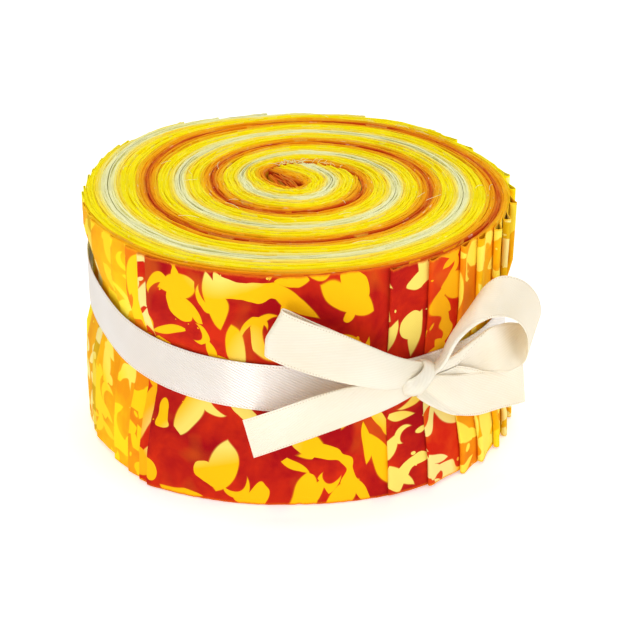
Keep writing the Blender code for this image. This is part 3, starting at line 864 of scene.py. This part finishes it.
def batik_cotton(name, ground, ground_deep, wax, wax_pale, cut_edge_and_gap_light, cell, cover, blobs, stems, seed):
    """Batik-dyed plain-woven cotton. It is matt, with a roughness of 0.85 and an IOR of 1.47."""
    material, tree, shader = new_material("batik_dyed_plain_woven_cotton_" + name, COTTON_SURFACE)
    cloth = add(tree, "UVMap", uv_map="cloth")
    xyz = add(tree, "SeparateXYZ", {0: cloth}).node
    along, across = xyz.outputs[0], xyz.outputs[1]
    shape, bent, moved = wax_distance(tree, cloth, cell, cover, blobs, stems, seed)
    colour = dye_colour(tree, along, shape, bent, moved, ground, ground_deep, wax, wax_pale, cut_edge_and_gap_light)
    colour = cut_edges_and_gap_light(tree, cloth, across, colour, cut_edge_and_gap_light)
    tree.links.new(colour, shader.inputs["Base Color"])
    tree.links.new(plain_weave(tree, cloth, along, across), shader.inputs["Normal"])
    return material


print("cotton threads to the cm:", round(2 / WEAVE_REPEAT_CM))

# %% [markdown]
# ## Twenty prints, two strips of each
# The set runs from red through orange and yellow to pale cream-yellow. The stack was folded back on itself, so the
# prints come in the order 1 to 20 and then 20 to 1. The cut edges have a colour of their own, the mean of the print
# with the dye that soaked in from both sides. It is made lighter too, as painted light over the shade between layers.

# %% The twenty prints
# Each print's cut edge colour is partly the frayed edge's own colour and partly painted light over the shade between
# layers.
PRINT_COLUMNS = ("name", "ground", "ground_deep", "wax", "wax_pale", "cut_edge_and_gap_light", "cell", "cover", "blobs", "stems")
PRINTS = (
    ("red_leaf", "#CE2A0A", "#A2040E", "#FBBE06", "#F3DC68", "#D8640E", 1.45, 0.78, 0.342, 0.0),
    ("orange_red_stem", "#DE420C", "#CC1E04", "#F8B20C", "#F2DF86", "#E98A0A", 1.3, 0.72, 0.34, 0.040),
    ("orange_leaf", "#F49E0A", "#EA7C08", "#FFD012", "#FFE24A", "#F5A00A", 1.2, 0.85, 0.40, 0.0),
    ("yellow_orange", "#FFC60A", "#F49A08", "#FFDE18", "#FFE85A", "#FAB00A", 1.2, 0.85, 0.40, 0.0),
    ("orange_marble", "#FDBC08", "#F09A06", "#FFD620", "#FDE458", "#FCB80A", 1.2, 0.75, 0.42, 0.0),
    ("olive_gold", "#E0B20C", "#CF9C08", "#F4D440", "#F4E28C", "#FBC40C", 1.2, 0.75, 0.42, 0.0),
    ("golden", "#F8B60C", "#F0A008", "#FCDC3A", "#FBEA90", "#FBC40C", 1.2, 0.75, 0.42, 0.0),
    ("bright_1", "#FFE508", "#FBD00A", "#FFEE3C", "#FFF48A", "#FFEE00", 1.2, 0.70, 0.42, 0.0),
    ("bright_2", "#FFEE08", "#FFE008", "#FFF34A", "#FFF79C", "#FFEE00", 1.2, 0.60, 0.42, 0.0),
    ("bright_3", "#FFEA08", "#FFD608", "#FFF464", "#FFF8B4", "#FFEE00", 1.1, 0.60, 0.42, 0.0),
    ("bright_4", "#FFF008", "#FFE008", "#FFF55A", "#FFF8A8", "#FFEE00", 1.2, 0.60, 0.42, 0.0),
    ("bright_5", "#FFE808", "#FFD808", "#FFF250", "#FFF8A4", "#FFEE00", 1.2, 0.60, 0.42, 0.0),
    ("bright_6", "#FFEE14", "#FFDC10", "#FFF568", "#FFF8B0", "#FFEE00", 1.1, 0.60, 0.42, 0.0),
    ("bright_7", "#FFE918", "#FFD818", "#FFF470", "#FFF9BC", "#FFEE00", 1.2, 0.60, 0.42, 0.0),
    ("pale_1", "#FFE048", "#FFD43C", "#FFF090", "#FFF8C8", "#FFE838", 1.2, 0.60, 0.42, 0.0),
    ("pale_2", "#FFDD4A", "#FFD040", "#FFEF98", "#FFF8CC", "#FFE84C", 1.2, 0.60, 0.42, 0.0),
    ("pale_3", "#FFE35C", "#FFDA50", "#FFF2A4", "#FFF9D4", "#FBEE7C", 1.2, 0.60, 0.42, 0.0),
    ("cream_1", "#F6EE9C", "#EEE486", "#FCF8CC", "#FFFCE8", "#F8F5B0", 1.2, 0.60, 0.42, 0.0),
    ("cream_2", "#F2F0A6", "#E6E492", "#FAF8CC", "#FEFCE4", "#F8F6BC", 1.2, 0.60, 0.42, 0.0),
    ("grey_green", "#E0DE98", "#D2D080", "#F1EFBC", "#FAF8DA", "#F2F0B8", 1.2, 0.60, 0.42, 0.0),
)


def print_of_strip(strip):
    return min(strip, STRIP_COUNT + 1 - strip)


PRINT_SEED_STEP = 4.37
cottons = [batik_cotton(**dict(zip(PRINT_COLUMNS, row)), seed=number * PRINT_SEED_STEP)
           for number, row in enumerate(PRINTS, start=1)]
print("prints:", len(cottons))

# %% Make the forty strips
PLACE_ON_CLOTH = 60.3
faces_made = 0
for strip in range(1, STRIP_COUNT + 1):
    points, faces, flat, run = strip_points(strip, rng)
    flat = flat + np.array((strip * PLACE_ON_CLOTH, 0.0))
    piece = cloth_object(f"cotton_strip_{strip:02d}", points, faces, flat, cottons[print_of_strip(strip) - 1])
    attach(piece, "root")
    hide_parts("strip_roll")
    faces_made += len(faces)
print("strip faces:", faces_made)

# %% [markdown]
# ## Loose threads
# Cut cotton frays. Short loose threads lie across the layers on top, most of them where the strips' cut ends meet the
# next turn. They are thin five-sided tubes in one mesh.

# %% Shape of a thread
THREAD_RADIUS, THREAD_LIFT, THREAD_ABOVE = 0.055, 0.30, 0.35
THREAD_SIDES, THREAD_STEPS = 5, 7
THREAD_PLACE_STEP = 9.0


def thread_tube(base, heading, length, curl, first):
    """Points and faces of a bent tube that starts at base, with its points numbered from first."""
    points, faces = [], []
    spot = base.copy()
    for step in range(THREAD_STEPS):
        turn = math.radians(heading + curl * step / THREAD_STEPS)
        forward = np.array((math.sin(turn), -math.cos(turn), 0.0))
        side = np.array((math.cos(turn), math.sin(turn), 0.0))
        lift = THREAD_LIFT * math.sin(math.pi * step / (THREAD_STEPS - 1))
        for k in range(THREAD_SIDES):
            around = 2 * math.pi * k / THREAD_SIDES
            ring = side * math.cos(around) + np.array((0.0, 0.0, math.sin(around)))
            points.append(spot + ring * THREAD_RADIUS + np.array((0.0, 0.0, lift)))
        spot = spot + forward * length / THREAD_STEPS
        if step:
            low, high = first + (step - 1) * THREAD_SIDES, first + step * THREAD_SIDES
            for k in range(THREAD_SIDES):
                after = (k + 1) % THREAD_SIDES
                faces.append((low + k, low + after, high + after, high + k))
    faces.append(tuple(first + k for k in reversed(range(THREAD_SIDES))))
    faces.append(tuple(first + len(points) - THREAD_SIDES + k for k in range(THREAD_SIDES)))
    return points, faces


print("a thread has", THREAD_SIDES * THREAD_STEPS, "points")

# %% Frayed threads on the top
THREAD_COUNT, END_THREADS = 64, 34
END_THREAD_STRIPS, END_THREAD_LENGTH, END_THREAD_SPREAD_DEG = (8, 34), (1.5, 4.5), 50.0
LOOSE_WINDINGS, LOOSE_LENGTH, LOOSE_SPREAD_DEG = (6.0, 18.0), (2.0, 7.0), 35.0
THREAD_CURL_DEG, THREAD_FROM_RIM = 60.0, 5.0
THREAD_PRINT = 19
thread_points, thread_faces, thread_flat = [], [], []
for number in range(THREAD_COUNT):
    if number < END_THREADS:
        strip = int(rng.integers(*END_THREAD_STRIPS))
        winding = start_winding((strip - 0.5) * STRIP_PITCH)
        radius = float(layer_radius(winding, (strip - 0.5) * STRIP_PITCH))
        length = rng.uniform(*END_THREAD_LENGTH)
        heading = float(direction_at(winding)) + rng.normal(0.0, END_THREAD_SPREAD_DEG)
    else:
        winding = rng.uniform(*LOOSE_WINDINGS)
        radius = float(layer_radius(winding, rng.uniform(0.0, STACK_THICKNESS)))
        radius = min(radius, OUTER_RADIUS - THREAD_FROM_RIM)
        length = rng.uniform(*LOOSE_LENGTH)
        heading = float(direction_at(winding)) + 90.0 + rng.normal(0.0, LOOSE_SPREAD_DEG)
    x, y = place(np.array([winding]), np.array([radius]), np.array([STRIP_WIDTH]))
    dome = DOME_HEIGHT * (1.0 - float(smooth(radius / DOME_RADIUS)))
    base = np.array((float(x[0]), float(y[0]), STRIP_WIDTH + dome + THREAD_ABOVE))
    curl = rng.uniform(-THREAD_CURL_DEG, THREAD_CURL_DEG)
    points, faces = thread_tube(base, heading, length, curl, len(thread_points))
    thread_points += points
    thread_faces += faces
    thread_flat += [(number * THREAD_PLACE_STEP + i // THREAD_SIDES, STRIP_WIDTH) for i in range(len(points))]
thread_cotton = cottons[THREAD_PRINT - 1]
threads = cloth_object("loose_threads", thread_points, thread_faces, thread_flat, thread_cotton, THREAD_SHARP_DEG)
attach(threads, "root")
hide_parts("strip_roll")
print("threads:", THREAD_COUNT, "faces:", len(thread_faces))

# %% [markdown]
# ## The satin ribbon
# A 12.7 mm single-face satin ribbon goes once round the roll and is tied in a bow. It is made as one sheet for each
# stretch: the turn round the roll, two loops, two tails and the wrap of the knot. A short table gives sections
# along each stretch. Near the knot the ribbon is drawn together: its face is narrower there and softly arched, and
# what is left of its width is turned under at both edges.

# %% Tables of the bow
RIBBON_WIDTH = 12.7
KNOT_DIRECTION = 28.8
BOW_COLUMNS = ("direction", "distance", "height", "lean", "stand", "width")
LEFT_LOOP = (
    (30.2, 60.9, 34.8, 24.0, 0.0, 6.0), (22.0, 62.8, 37.8, 18.0, 0.0, 8.6), (14.8, 63.9, 41.6, 15.0, 0.0, 10.5),
    (7.8, 64.3, 45.3, 15.0, 0.0, 12.2), (1.3, 64.2, 48.2, 16.0, 0.0, 12.7), (-4.2, 63.9, 50.9, 17.0, 0.0, 12.7),
    (-5.2, 62.9, 51.4, 17.0, 0.0, 12.7), (-4.2, 61.9, 50.9, 17.0, 0.0, 12.7), (1.3, 61.7, 48.0, 16.0, 0.0, 12.2),
    (7.8, 61.7, 45.0, 15.0, 0.0, 11.2), (14.8, 61.5, 41.2, 15.0, 0.0, 9.4), (22.0, 60.6, 37.2, 18.0, 0.0, 7.6),
    (30.2, 59.6, 34.5, 24.0, 0.0, 5.6),
)
LEFT_TAIL = (
    (28.8, 60.9, 32.6, -5.0, 0.0, 5.4), (21.3, 61.9, 31.9, -14.0, -4.0, 8.0), (13.6, 62.3, 30.9, -15.0, -7.0, 10.5),
    (5.0, 62.8, 28.8, -13.0, -12.0, 12.2), (-2.9, 63.6, 26.0, -10.5, -15.0, 12.7),
    (-10.9, 64.4, 22.5, -9.0, -15.0, 12.7),
)
RIGHT_TAIL = (
    (28.8, 60.9, 32.5, 5.0, 0.0, 5.2), (32.6, 62.2, 30.4, -2.0, -6.0, 8.4), (38.0, 63.0, 27.5, -6.0, -4.0, 11.5),
    (45.0, 63.6, 25.3, -5.0, 0.0, 12.7), (52.6, 65.0, 24.1, -8.0, 0.0, 12.7), (61.2, 67.0, 21.7, -13.0, 0.0, 12.7),
)
RIGHT_LOOP = (
    (30.6, 60.0, 33.4, 96.0, 57.0, 4.2), (34.4, 62.1, 37.7, 97.5, 56.4, 5.5), (37.1, 63.4, 44.1, 104.0, 53.3, 7.0),
    (41.5, 63.8, 48.1, 96.0, 50.5, 9.5), (46.3, 64.7, 50.9, 72.1, 45.2, 12.0), (50.2, 66.4, 51.4, 56.0, 34.4, 12.7),
    (54.1, 68.5, 49.1, 58.0, 21.0, 12.7), (57.5, 69.8, 44.5, 65.7, 12.5, 12.7), (60.0, 69.7, 38.8, 71.0, 9.0, 12.7),
    (60.6, 68.4, 34.3, 63.0, 10.0, 12.7), (56.9, 66.4, 34.2, 41.0, 13.0, 12.7), (51.9, 65.9, 36.2, 10.0, 6.0, 12.7),
    (47.4, 64.5, 37.0, 1.0, 2.6, 11.6), (43.2, 62.9, 36.4, 2.3, 0.0, 8.6), (38.7, 61.6, 35.0, 1.5, 1.8, 5.6),
    (34.0, 61.1, 34.4, -4.0, 3.9, 4.2), (29.0, 60.6, 34.0, -5.8, 6.0, 4.0),
)

print("rows of the bow's tables:", [len(rows) for rows in (LEFT_LOOP, LEFT_TAIL, RIGHT_LOOP, RIGHT_TAIL)])

# %% Sections from a table
SECTION_STEPS = 6
UP = np.array((0.0, 0.0, 1.0))


def bow_section(row):
    row = dict(zip(BOW_COLUMNS, row))
    turn, lean, stand = (math.radians(row[key]) for key in ("direction", "lean", "stand"))
    away = np.array((math.sin(turn), -math.cos(turn), 0.0))
    side = np.array((math.cos(turn), math.sin(turn), 0.0))
    upright = side * math.sin(lean) + UP * math.cos(lean)
    across = upright * math.cos(stand) - away * math.sin(stand)
    return away * row["distance"] + np.array((0.0, 0.0, row["height"])), across / np.linalg.norm(across), row["width"]


def bow_sections(rows):
    return [bow_section(catmull_rom(rows, i / SECTION_STEPS)) for i in range((len(rows) - 1) * SECTION_STEPS + 1)]


print("sections of the left loop:", len(bow_sections(LEFT_LOOP)))

# %% Edges turned under
TUCK_RADIUS = (0.12, 0.4)
TUCK_FULL_AT, TUCK_CLEARANCE = 2.0, 0.15
FACE_POINTS, TUCK_POINTS = 15, 9


def tucked_profile(width, arch):
    """Places across the ribbon, depths and distances along the cloth: the face, and its edges turned under."""
    narrow = float(smooth((RIBBON_WIDTH - width) / TUCK_FULL_AT))
    radius = TUCK_RADIUS[0] + (TUCK_RADIUS[1] - TUCK_RADIUS[0]) * narrow
    half = width / 2 - radius
    left_over = min(RIBBON_WIDTH / 2 - half, math.pi * radius + half - TUCK_CLEARANCE)
    face = np.linspace(0.0, half, FACE_POINTS // 2 + 1)
    along = np.concatenate((face, half + left_over * np.arange(1, TUCK_POINTS + 1) / TUCK_POINTS))
    turn = np.clip((along - half) / radius, 0.0, math.pi)
    past = np.maximum(along - half - math.pi * radius, 0.0)
    place_across = np.minimum(along, half) + radius * np.sin(turn) - past
    bulge = arch * width * narrow * (1.0 - (np.minimum(along, half) / half) ** 2)
    depth = radius * (1.0 - np.cos(turn)) - bulge
    return [np.concatenate((sign * values[:0:-1], values))
            for sign, values in ((-1.0, place_across), (1.0, depth), (-1.0, along))]


print("a face 6 mm wide has tucks", round(2 * tucked_profile(6.0, 0.0)[2][-1] - 6.0, 1), "mm long in all")

# %% [markdown]
# ## Bends that sections can't give
# The right tail has a crease that runs at a slant from the knot to its lower edge, and the left loop ends in a blunt
# corner. Both are added to the finished surface as smooth moves of its points.

# %% Crease and corner
CREASE_START, CREASE_END, CREASE_SLOPE = 0.8, 15.0, 0.7
CORNER_OUT, CORNER_AT, CORNER_REACH = 2.0, -1.4, 6.5
LOOP_TIP_SHARE, LOOP_TIP_SPREAD, LOOP_TIP_DIRECTION = 0.475, 5.0, -5.0


def tail_crease(surface, face, run, places):
    """The right tail's lower part bends forward along a line from the knot to its lower edge."""
    line = np.interp(run, (0.0, CREASE_END), (CREASE_START, -RIBBON_WIDTH / 2))[:, None]
    bend = CREASE_SLOPE * np.maximum(line - places, 0.0)
    return surface - face[:, None, :] * bend[:, :, None]


def loop_corner(surface, face, run, places):
    """The left loop's end comes to a blunt corner below its middle."""
    near_tip = np.exp(-((run - run[-1] * LOOP_TIP_SHARE) / LOOP_TIP_SPREAD) ** 2)[:, None]
    shape = np.clip(1.0 - np.abs(places - CORNER_AT) / CORNER_REACH, 0.0, 1.0)
    turn = math.radians(LOOP_TIP_DIRECTION)
    left = -np.array((math.cos(turn), math.sin(turn), 0.0))
    return surface + left * (CORNER_OUT * near_tip * shape)[:, :, None]


print("the crease is", round(math.hypot(CREASE_END, CREASE_START + RIBBON_WIDTH / 2), 1), "mm long")

# %% A sheet through sections
RIBBON_THICKNESS = 0.3


def unit(vectors):
    return vectors / np.linalg.norm(vectors, axis=-1, keepdims=True)


def ribbon_sheet(name, sections, material, tuck_side, arch, adjust):
    """A thin sheet through sections of (centre, width direction, width), and its length in millimetres."""
    centres = np.array([s[0] for s in sections])
    across = np.array([s[1] for s in sections])
    face = np.cross(unit(np.gradient(centres, axis=0)), across)
    face *= tuck_side / np.linalg.norm(face, axis=1)[:, None]
    profiles = np.array([tucked_profile(s[2], arch) for s in sections])
    surface = (centres[:, None, :] + across[:, None, :] * profiles[:, 0, :, None]
               + face[:, None, :] * profiles[:, 1, :, None])
    run = np.concatenate(([0.0], np.cumsum(np.linalg.norm(np.diff(centres, axis=0), axis=1))))
    if adjust:
        surface = adjust(surface, face, run, profiles[:, 0])
    half = unit(np.cross(np.gradient(surface, axis=0), np.gradient(surface, axis=1))) * (RIBBON_THICKNESS / 2)
    rows, columns = surface.shape[:2]
    points = np.concatenate(((surface + half).reshape(-1, 3), (surface - half).reshape(-1, 3)))
    flat = np.column_stack((np.repeat(run, columns), profiles[:, 2].ravel() + RIBBON_WIDTH / 2))
    index = [np.arange(columns) + columns * i for i in range(rows)]
    index_b = [i + rows * columns for i in index]
    faces = closed_sheet(index, index_b, [np.arange(columns)] * rows)
    return cloth_object(name, points, faces, np.vstack((flat, flat)), material), run[-1]


print("a ribbon section has", 2 * (FACE_POINTS + 2 * TUCK_POINTS), "points")

# %% [markdown]
# ## Woven satin
# Satin floats its threads over the surface, so it is smooth and catches broad highlights that stretch across the
# threads. Polyester satin has an IOR of about 1.57 and a roughness of about 0.3. Matched to the photo, the shiny side
# has 0.4 and the dull side 0.5. The cloth is thin enough to glow a little, which subsurface scattering gives. On its
# shiny side the threads also return light from their inside, which a part of metallic reflection stands in for. Its
# fine twill lines run at a slant to the ribbon's length. They are drawn three times as far apart as the real ones, so
# that they show as in the photo. A line of small dots along both edges is the selvedge, where the weft turns back.
# Its picks are drawn twice as far apart as the real ones.

# %% Selvedge
SELVEDGE_CM, SELVEDGE_PICK_CM = 0.045, 0.075
SELVEDGE_COLOUR, SELVEDGE_RANGE = "#B9A283", {1: 0.012, 2: 0.022, 3: 0.5, 4: 0.0}
PICK_RANGE = {1: -0.2, 2: 0.4, 3: 0.0, 4: 1.0}


def selvedge(tree, along, across):
    """How much of the selvedge's dotted line shows at each place."""
    from_edge = add(tree, "Math", {0: across, 1: RIBBON_WIDTH / 20}, operation="SUBTRACT")
    from_edge = add(tree, "Math", {0: from_edge}, operation="ABSOLUTE")
    from_line = add(tree, "Math", {0: from_edge, 1: RIBBON_WIDTH / 20 - SELVEDGE_CM}, operation="SUBTRACT")
    from_line = add(tree, "Math", {0: from_line}, operation="ABSOLUTE")
    line = add(tree, "MapRange", {0: from_line, **SELVEDGE_RANGE})
    pick = add(tree, "Math", {0: along, 1: FULL_TURN / SELVEDGE_PICK_CM}, operation="MULTIPLY")
    pick = add(tree, "Math", {0: pick}, operation="SINE")
    pick = add(tree, "MapRange", {0: pick, **PICK_RANGE})
    return add(tree, "Math", {0: line, 1: pick}, operation="MULTIPLY")


print("picks along the selvedge:", round(1 / SELVEDGE_PICK_CM, 1), "to the cm")

# %% Satin
SATIN_SURFACE = {
    "IOR": 1.57, "Anisotropic": 0.9, "Anisotropic Rotation": 0.25, "Specular IOR Level": 1.0,
    "Subsurface Weight": 0.35, "Subsurface Radius": (1.0, 0.85, 0.65), "Subsurface Scale": 0.0015,
}
CLOUD_NOISE, CLOUD_RANGE = {"Scale": 0.5, "Detail": 2.0, "Roughness": 0.4}, {1: 0.35, 2: 0.65, 3: 0.0, 4: 1.0}
TWILL_PITCH_CM, TWILL_DEG = 0.07, 24.0
TWILL_COLOUR, TWILL_RANGE = "#DCCAAE", {1: -1.0, 2: 1.0, 3: 0.0, 4: 0.16}
SLACK_NOISE, SLACK_SHARE = {"Scale": 1.2, "Detail": 2.0, "Roughness": 0.5}, 6.0
SATIN_RELIEF_M = 0.00005


def woven_satin(name, colour, shade, roughness, inner_shine, relief_strength):
    surface = {**SATIN_SURFACE, "Roughness": roughness, "Metallic": inner_shine}
    material, tree, shader = new_material("woven_satin_ribbon_" + name, surface)
    cloth = add(tree, "UVMap", uv_map="cloth")
    cloud = add(tree, "TexNoise", {"Vector": cloth, **CLOUD_NOISE}, noise_dimensions="2D")
    cloud = add(tree, "MapRange", {0: cloud, **CLOUD_RANGE})
    base = add(tree, "Mix", {"Factor": cloud, "A": linear(colour), "B": linear(shade)}, **MIX_COLOURS)
    turned = add(tree, "VectorRotate", {"Vector": cloth, "Angle": math.radians(TWILL_DEG)}, rotation_type="Z_AXIS")
    turned = add(tree, "SeparateXYZ", {0: turned}, out=1)
    twill = add(tree, "Math", {0: turned, 1: FULL_TURN / TWILL_PITCH_CM}, operation="MULTIPLY")
    twill = add(tree, "Math", {0: twill}, operation="SINE")
    twill_lines = add(tree, "MapRange", {0: twill, **TWILL_RANGE})
    base = add(tree, "Mix", {"Factor": twill_lines, "A": base, "B": linear(TWILL_COLOUR)}, **MIX_COLOURS)
    flat = add(tree, "SeparateXYZ", {0: cloth}).node
    dots = selvedge(tree, flat.outputs[0], flat.outputs[1])
    base = add(tree, "Mix", {"Factor": dots, "A": base, "B": linear(SELVEDGE_COLOUR)}, **MIX_COLOURS)
    tree.links.new(base, shader.inputs["Base Color"])
    slack = add(tree, "TexNoise", {"Vector": cloth, **SLACK_NOISE}, noise_dimensions="2D")
    relief = add(tree, "Math", {0: slack, 1: SLACK_SHARE, 2: twill}, operation="MULTIPLY_ADD")
    bump = add(tree, "Bump", {"Height": relief, "Strength": relief_strength, "Distance": SATIN_RELIEF_M})
    tree.links.new(bump, shader.inputs["Normal"])
    tangent = add(tree, "Tangent", direction_type="UV_MAP", uv_map="cloth")
    tree.links.new(tangent, shader.inputs["Tangent"])
    return material


satin = woven_satin("shiny_side", "#F6EEE6", "#EFE5DA", 0.4, 0.30, 0.7)
satin_back = woven_satin("dull_side", "#F0E5CE", "#EADDC2", 0.5, 0.0, 0.35)
print("satins:", satin.name, "and", satin_back.name)

# %% [markdown]
# ## The knot
# The knot is the ribbon wrapped once over its own crossing. It shows as one small smooth wrap that runs from upper
# right to lower left. A ring of sections round a tilted axis gives it, and its width swells a little, so that it
# doesn't look like a turned ring.

# %% Knot
KNOT_DISTANCE, KNOT_HEIGHT, KNOT_MIDDLE_DIRECTION = 61.0, 34.3, 28.9
KNOT_HALF = (4.1, 2.7)
KNOT_WRAP_WIDTH = 5.0
KNOT_SWELL, KNOT_SWELL_TURNS, KNOT_SWELL_START = 0.10, 2, 0.6
KNOT_TILT_DEG = 58.0
KNOT_ARCH = 0.24
KNOT_STEPS, KNOT_OVERLAP = 48, 0.01


def knot_sections():
    """Sections round the knot: it wraps over a tilted axis that points along the roll's side."""
    turn, tilt = math.radians(KNOT_MIDDLE_DIRECTION), math.radians(KNOT_TILT_DEG)
    away = np.array((math.sin(turn), -math.cos(turn), 0.0))
    side = np.array((math.cos(turn), math.sin(turn), 0.0))
    across = side * math.cos(tilt) - UP * math.sin(tilt)
    over = side * math.sin(tilt) + UP * math.cos(tilt)
    centre = away * KNOT_DISTANCE + UP * KNOT_HEIGHT
    sections = []
    for i in range(KNOT_STEPS + 1):
        angle = 2 * math.pi * i / KNOT_STEPS + KNOT_OVERLAP * i / KNOT_STEPS
        point = centre + over * math.cos(angle) * KNOT_HALF[0] - away * math.sin(angle) * KNOT_HALF[1]
        swell = 1.0 + KNOT_SWELL * math.sin(angle * KNOT_SWELL_TURNS + KNOT_SWELL_START)
        sections.append((point, across, KNOT_WRAP_WIDTH * swell))
    return sections


print("knot sections:", len(knot_sections()))

# %% [markdown]
# ## The turn round the roll
# The band lies flat in the waist, with its shiny side out. Towards the knot it is drawn together, and it rises and
# stands off the roll a little, because the tie pulls it up.

# %% Band sections
BAND_RADIUS = 56.45
BAND_STEP_DEG = 2.5
BAND_CLOSES_DEG = 13.0
BAND_AT_KNOT = {"out": 1.3, "up": 3.4, "width": 6.6}


def band_sections():
    sections = []
    count = int(360 / BAND_STEP_DEG)
    for i in range(count + 1):
        direction = KNOT_DIRECTION + i * BAND_STEP_DEG
        turn = math.radians(direction)
        from_knot = min(i, count - i) * BAND_STEP_DEG
        close = 1.0 - float(smooth(from_knot / BAND_CLOSES_DEG))
        width = RIBBON_WIDTH + (BAND_AT_KNOT["width"] - RIBBON_WIDTH) * close
        radius = BAND_RADIUS + BAND_AT_KNOT["out"] * close
        height = float(band_height(direction)) + BAND_AT_KNOT["up"] * close
        sections.append((np.array((math.sin(turn) * radius, -math.cos(turn) * radius, height)), UP, width))
    return sections


print("band sections:", len(band_sections()))

# %% [markdown]
# ## The six pieces of ribbon
# The band shows the ribbon's shiny side, and the bow shows its dull side, as in the photo. Each piece's row names how
# the real one is held, and the length measured along each piece is printed.

# %% Make the ribbon
ARCH_SHARE = 0.09
RIBBON_PIECES = (
    ("ribbon_band", band_sections(), satin, "stretched", -1.0, ARCH_SHARE, None),
    ("bow_left_loop", bow_sections(LEFT_LOOP), satin_back, "folded", 1.0, ARCH_SHARE, loop_corner),
    ("bow_left_tail", bow_sections(LEFT_TAIL), satin_back, "hung", 1.0, ARCH_SHARE, None),
    ("bow_right_loop", bow_sections(RIGHT_LOOP), satin_back, "folded", -1.0, ARCH_SHARE, None),
    ("bow_right_tail", bow_sections(RIGHT_TAIL), satin_back, "hung", -1.0, ARCH_SHARE, tail_crease),
    ("bow_knot", knot_sections(), satin_back, "gathered", 1.0, KNOT_ARCH, None),
)
for name, sections, material, held, tuck_side, arch, adjust in RIBBON_PIECES:
    piece, run = ribbon_sheet(name, sections, material, tuck_side, arch, adjust)
    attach(piece, "root")
    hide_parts("ribbon_tie")
    print(name, "length", round(run, 1), "mm")

# %% [markdown]
# ## Studio
# The photo is a bright cut-out on white, with soft light from all sides. The world gives most of it. A narrow softbox
# stands low and nearly in front, and its reflection is the highlight along the ribbon. A weak key, a fill from the
# right and a light from above give the folds their shade. A pale floor takes a faint contact shadow. The standard
# view keeps the reds and yellows as pure as the photo has them.

# %% Floor, light and view
FLOOR_HALF, FLOOR_DROP = 2, 0.0002
WHITE = (1.0, 1.0, 1.0, 1.0)
PAPER_SURFACE = {
    "Base Color": linear("#FFFFFF"), "Roughness": 0.9, "Emission Color": WHITE, "Emission Strength": 0.34,
}
WORLD_STRENGTH = 0.50
LIGHT_COLUMNS = ("name", "azimuth", "elevation", "distance", "width", "height", "power")
LIGHTS = (
    ("key", -28.0, 50.0, 0.9, 0.35, 0.35, 0.5),
    ("front softbox", -16.0, 8.0, 0.9, 0.12, 0.50, 2.8),
    ("fill", 62.0, 25.0, 1.0, 0.60, 0.60, 2.3),
    ("top", 180.0, 75.0, 0.9, 0.60, 0.60, 3.0),
)

floor_mesh = bpy.data.meshes.new("floor")
corners = ((-1, -1), (1, -1), (1, 1), (-1, 1))
floor_mesh.from_pydata([(x * FLOOR_HALF, y * FLOOR_HALF, 0) for x, y in corners], [], [(0, 1, 2, 3)])
floor = add_object("floor", floor_mesh)
floor.location.z = -FLOOR_DROP
floor_mesh.materials.append(new_material("matt_white_paper", PAPER_SURFACE)[0])

world = bpy.data.worlds.new("studio")
world.use_nodes = True
background = world.node_tree.nodes["Background"]
background.inputs[0].default_value, background.inputs[1].default_value = WHITE, WORLD_STRENGTH
bpy.context.scene.world = world

for row in LIGHTS:
    light = dict(zip(LIGHT_COLUMNS, row))
    lamp = bpy.data.lights.new(light["name"], "AREA")
    lamp.shape = "RECTANGLE"
    lamp.size, lamp.size_y, lamp.energy = light["width"], light["height"], light["power"]
    turn, rise = math.radians(light["azimuth"]), math.radians(light["elevation"])
    spot = Vector((math.sin(turn) * math.cos(rise), -math.cos(turn) * math.cos(rise), math.sin(rise)))
    lamp_object = add_object(light["name"], lamp)
    lamp_object.location = spot * light["distance"]
    lamp_object.rotation_euler = (-spot).to_track_quat("-Z", "Y").to_euler()
bpy.context.scene.view_settings.view_transform = "Standard"
print("lights:", [row[0] for row in LIGHTS])
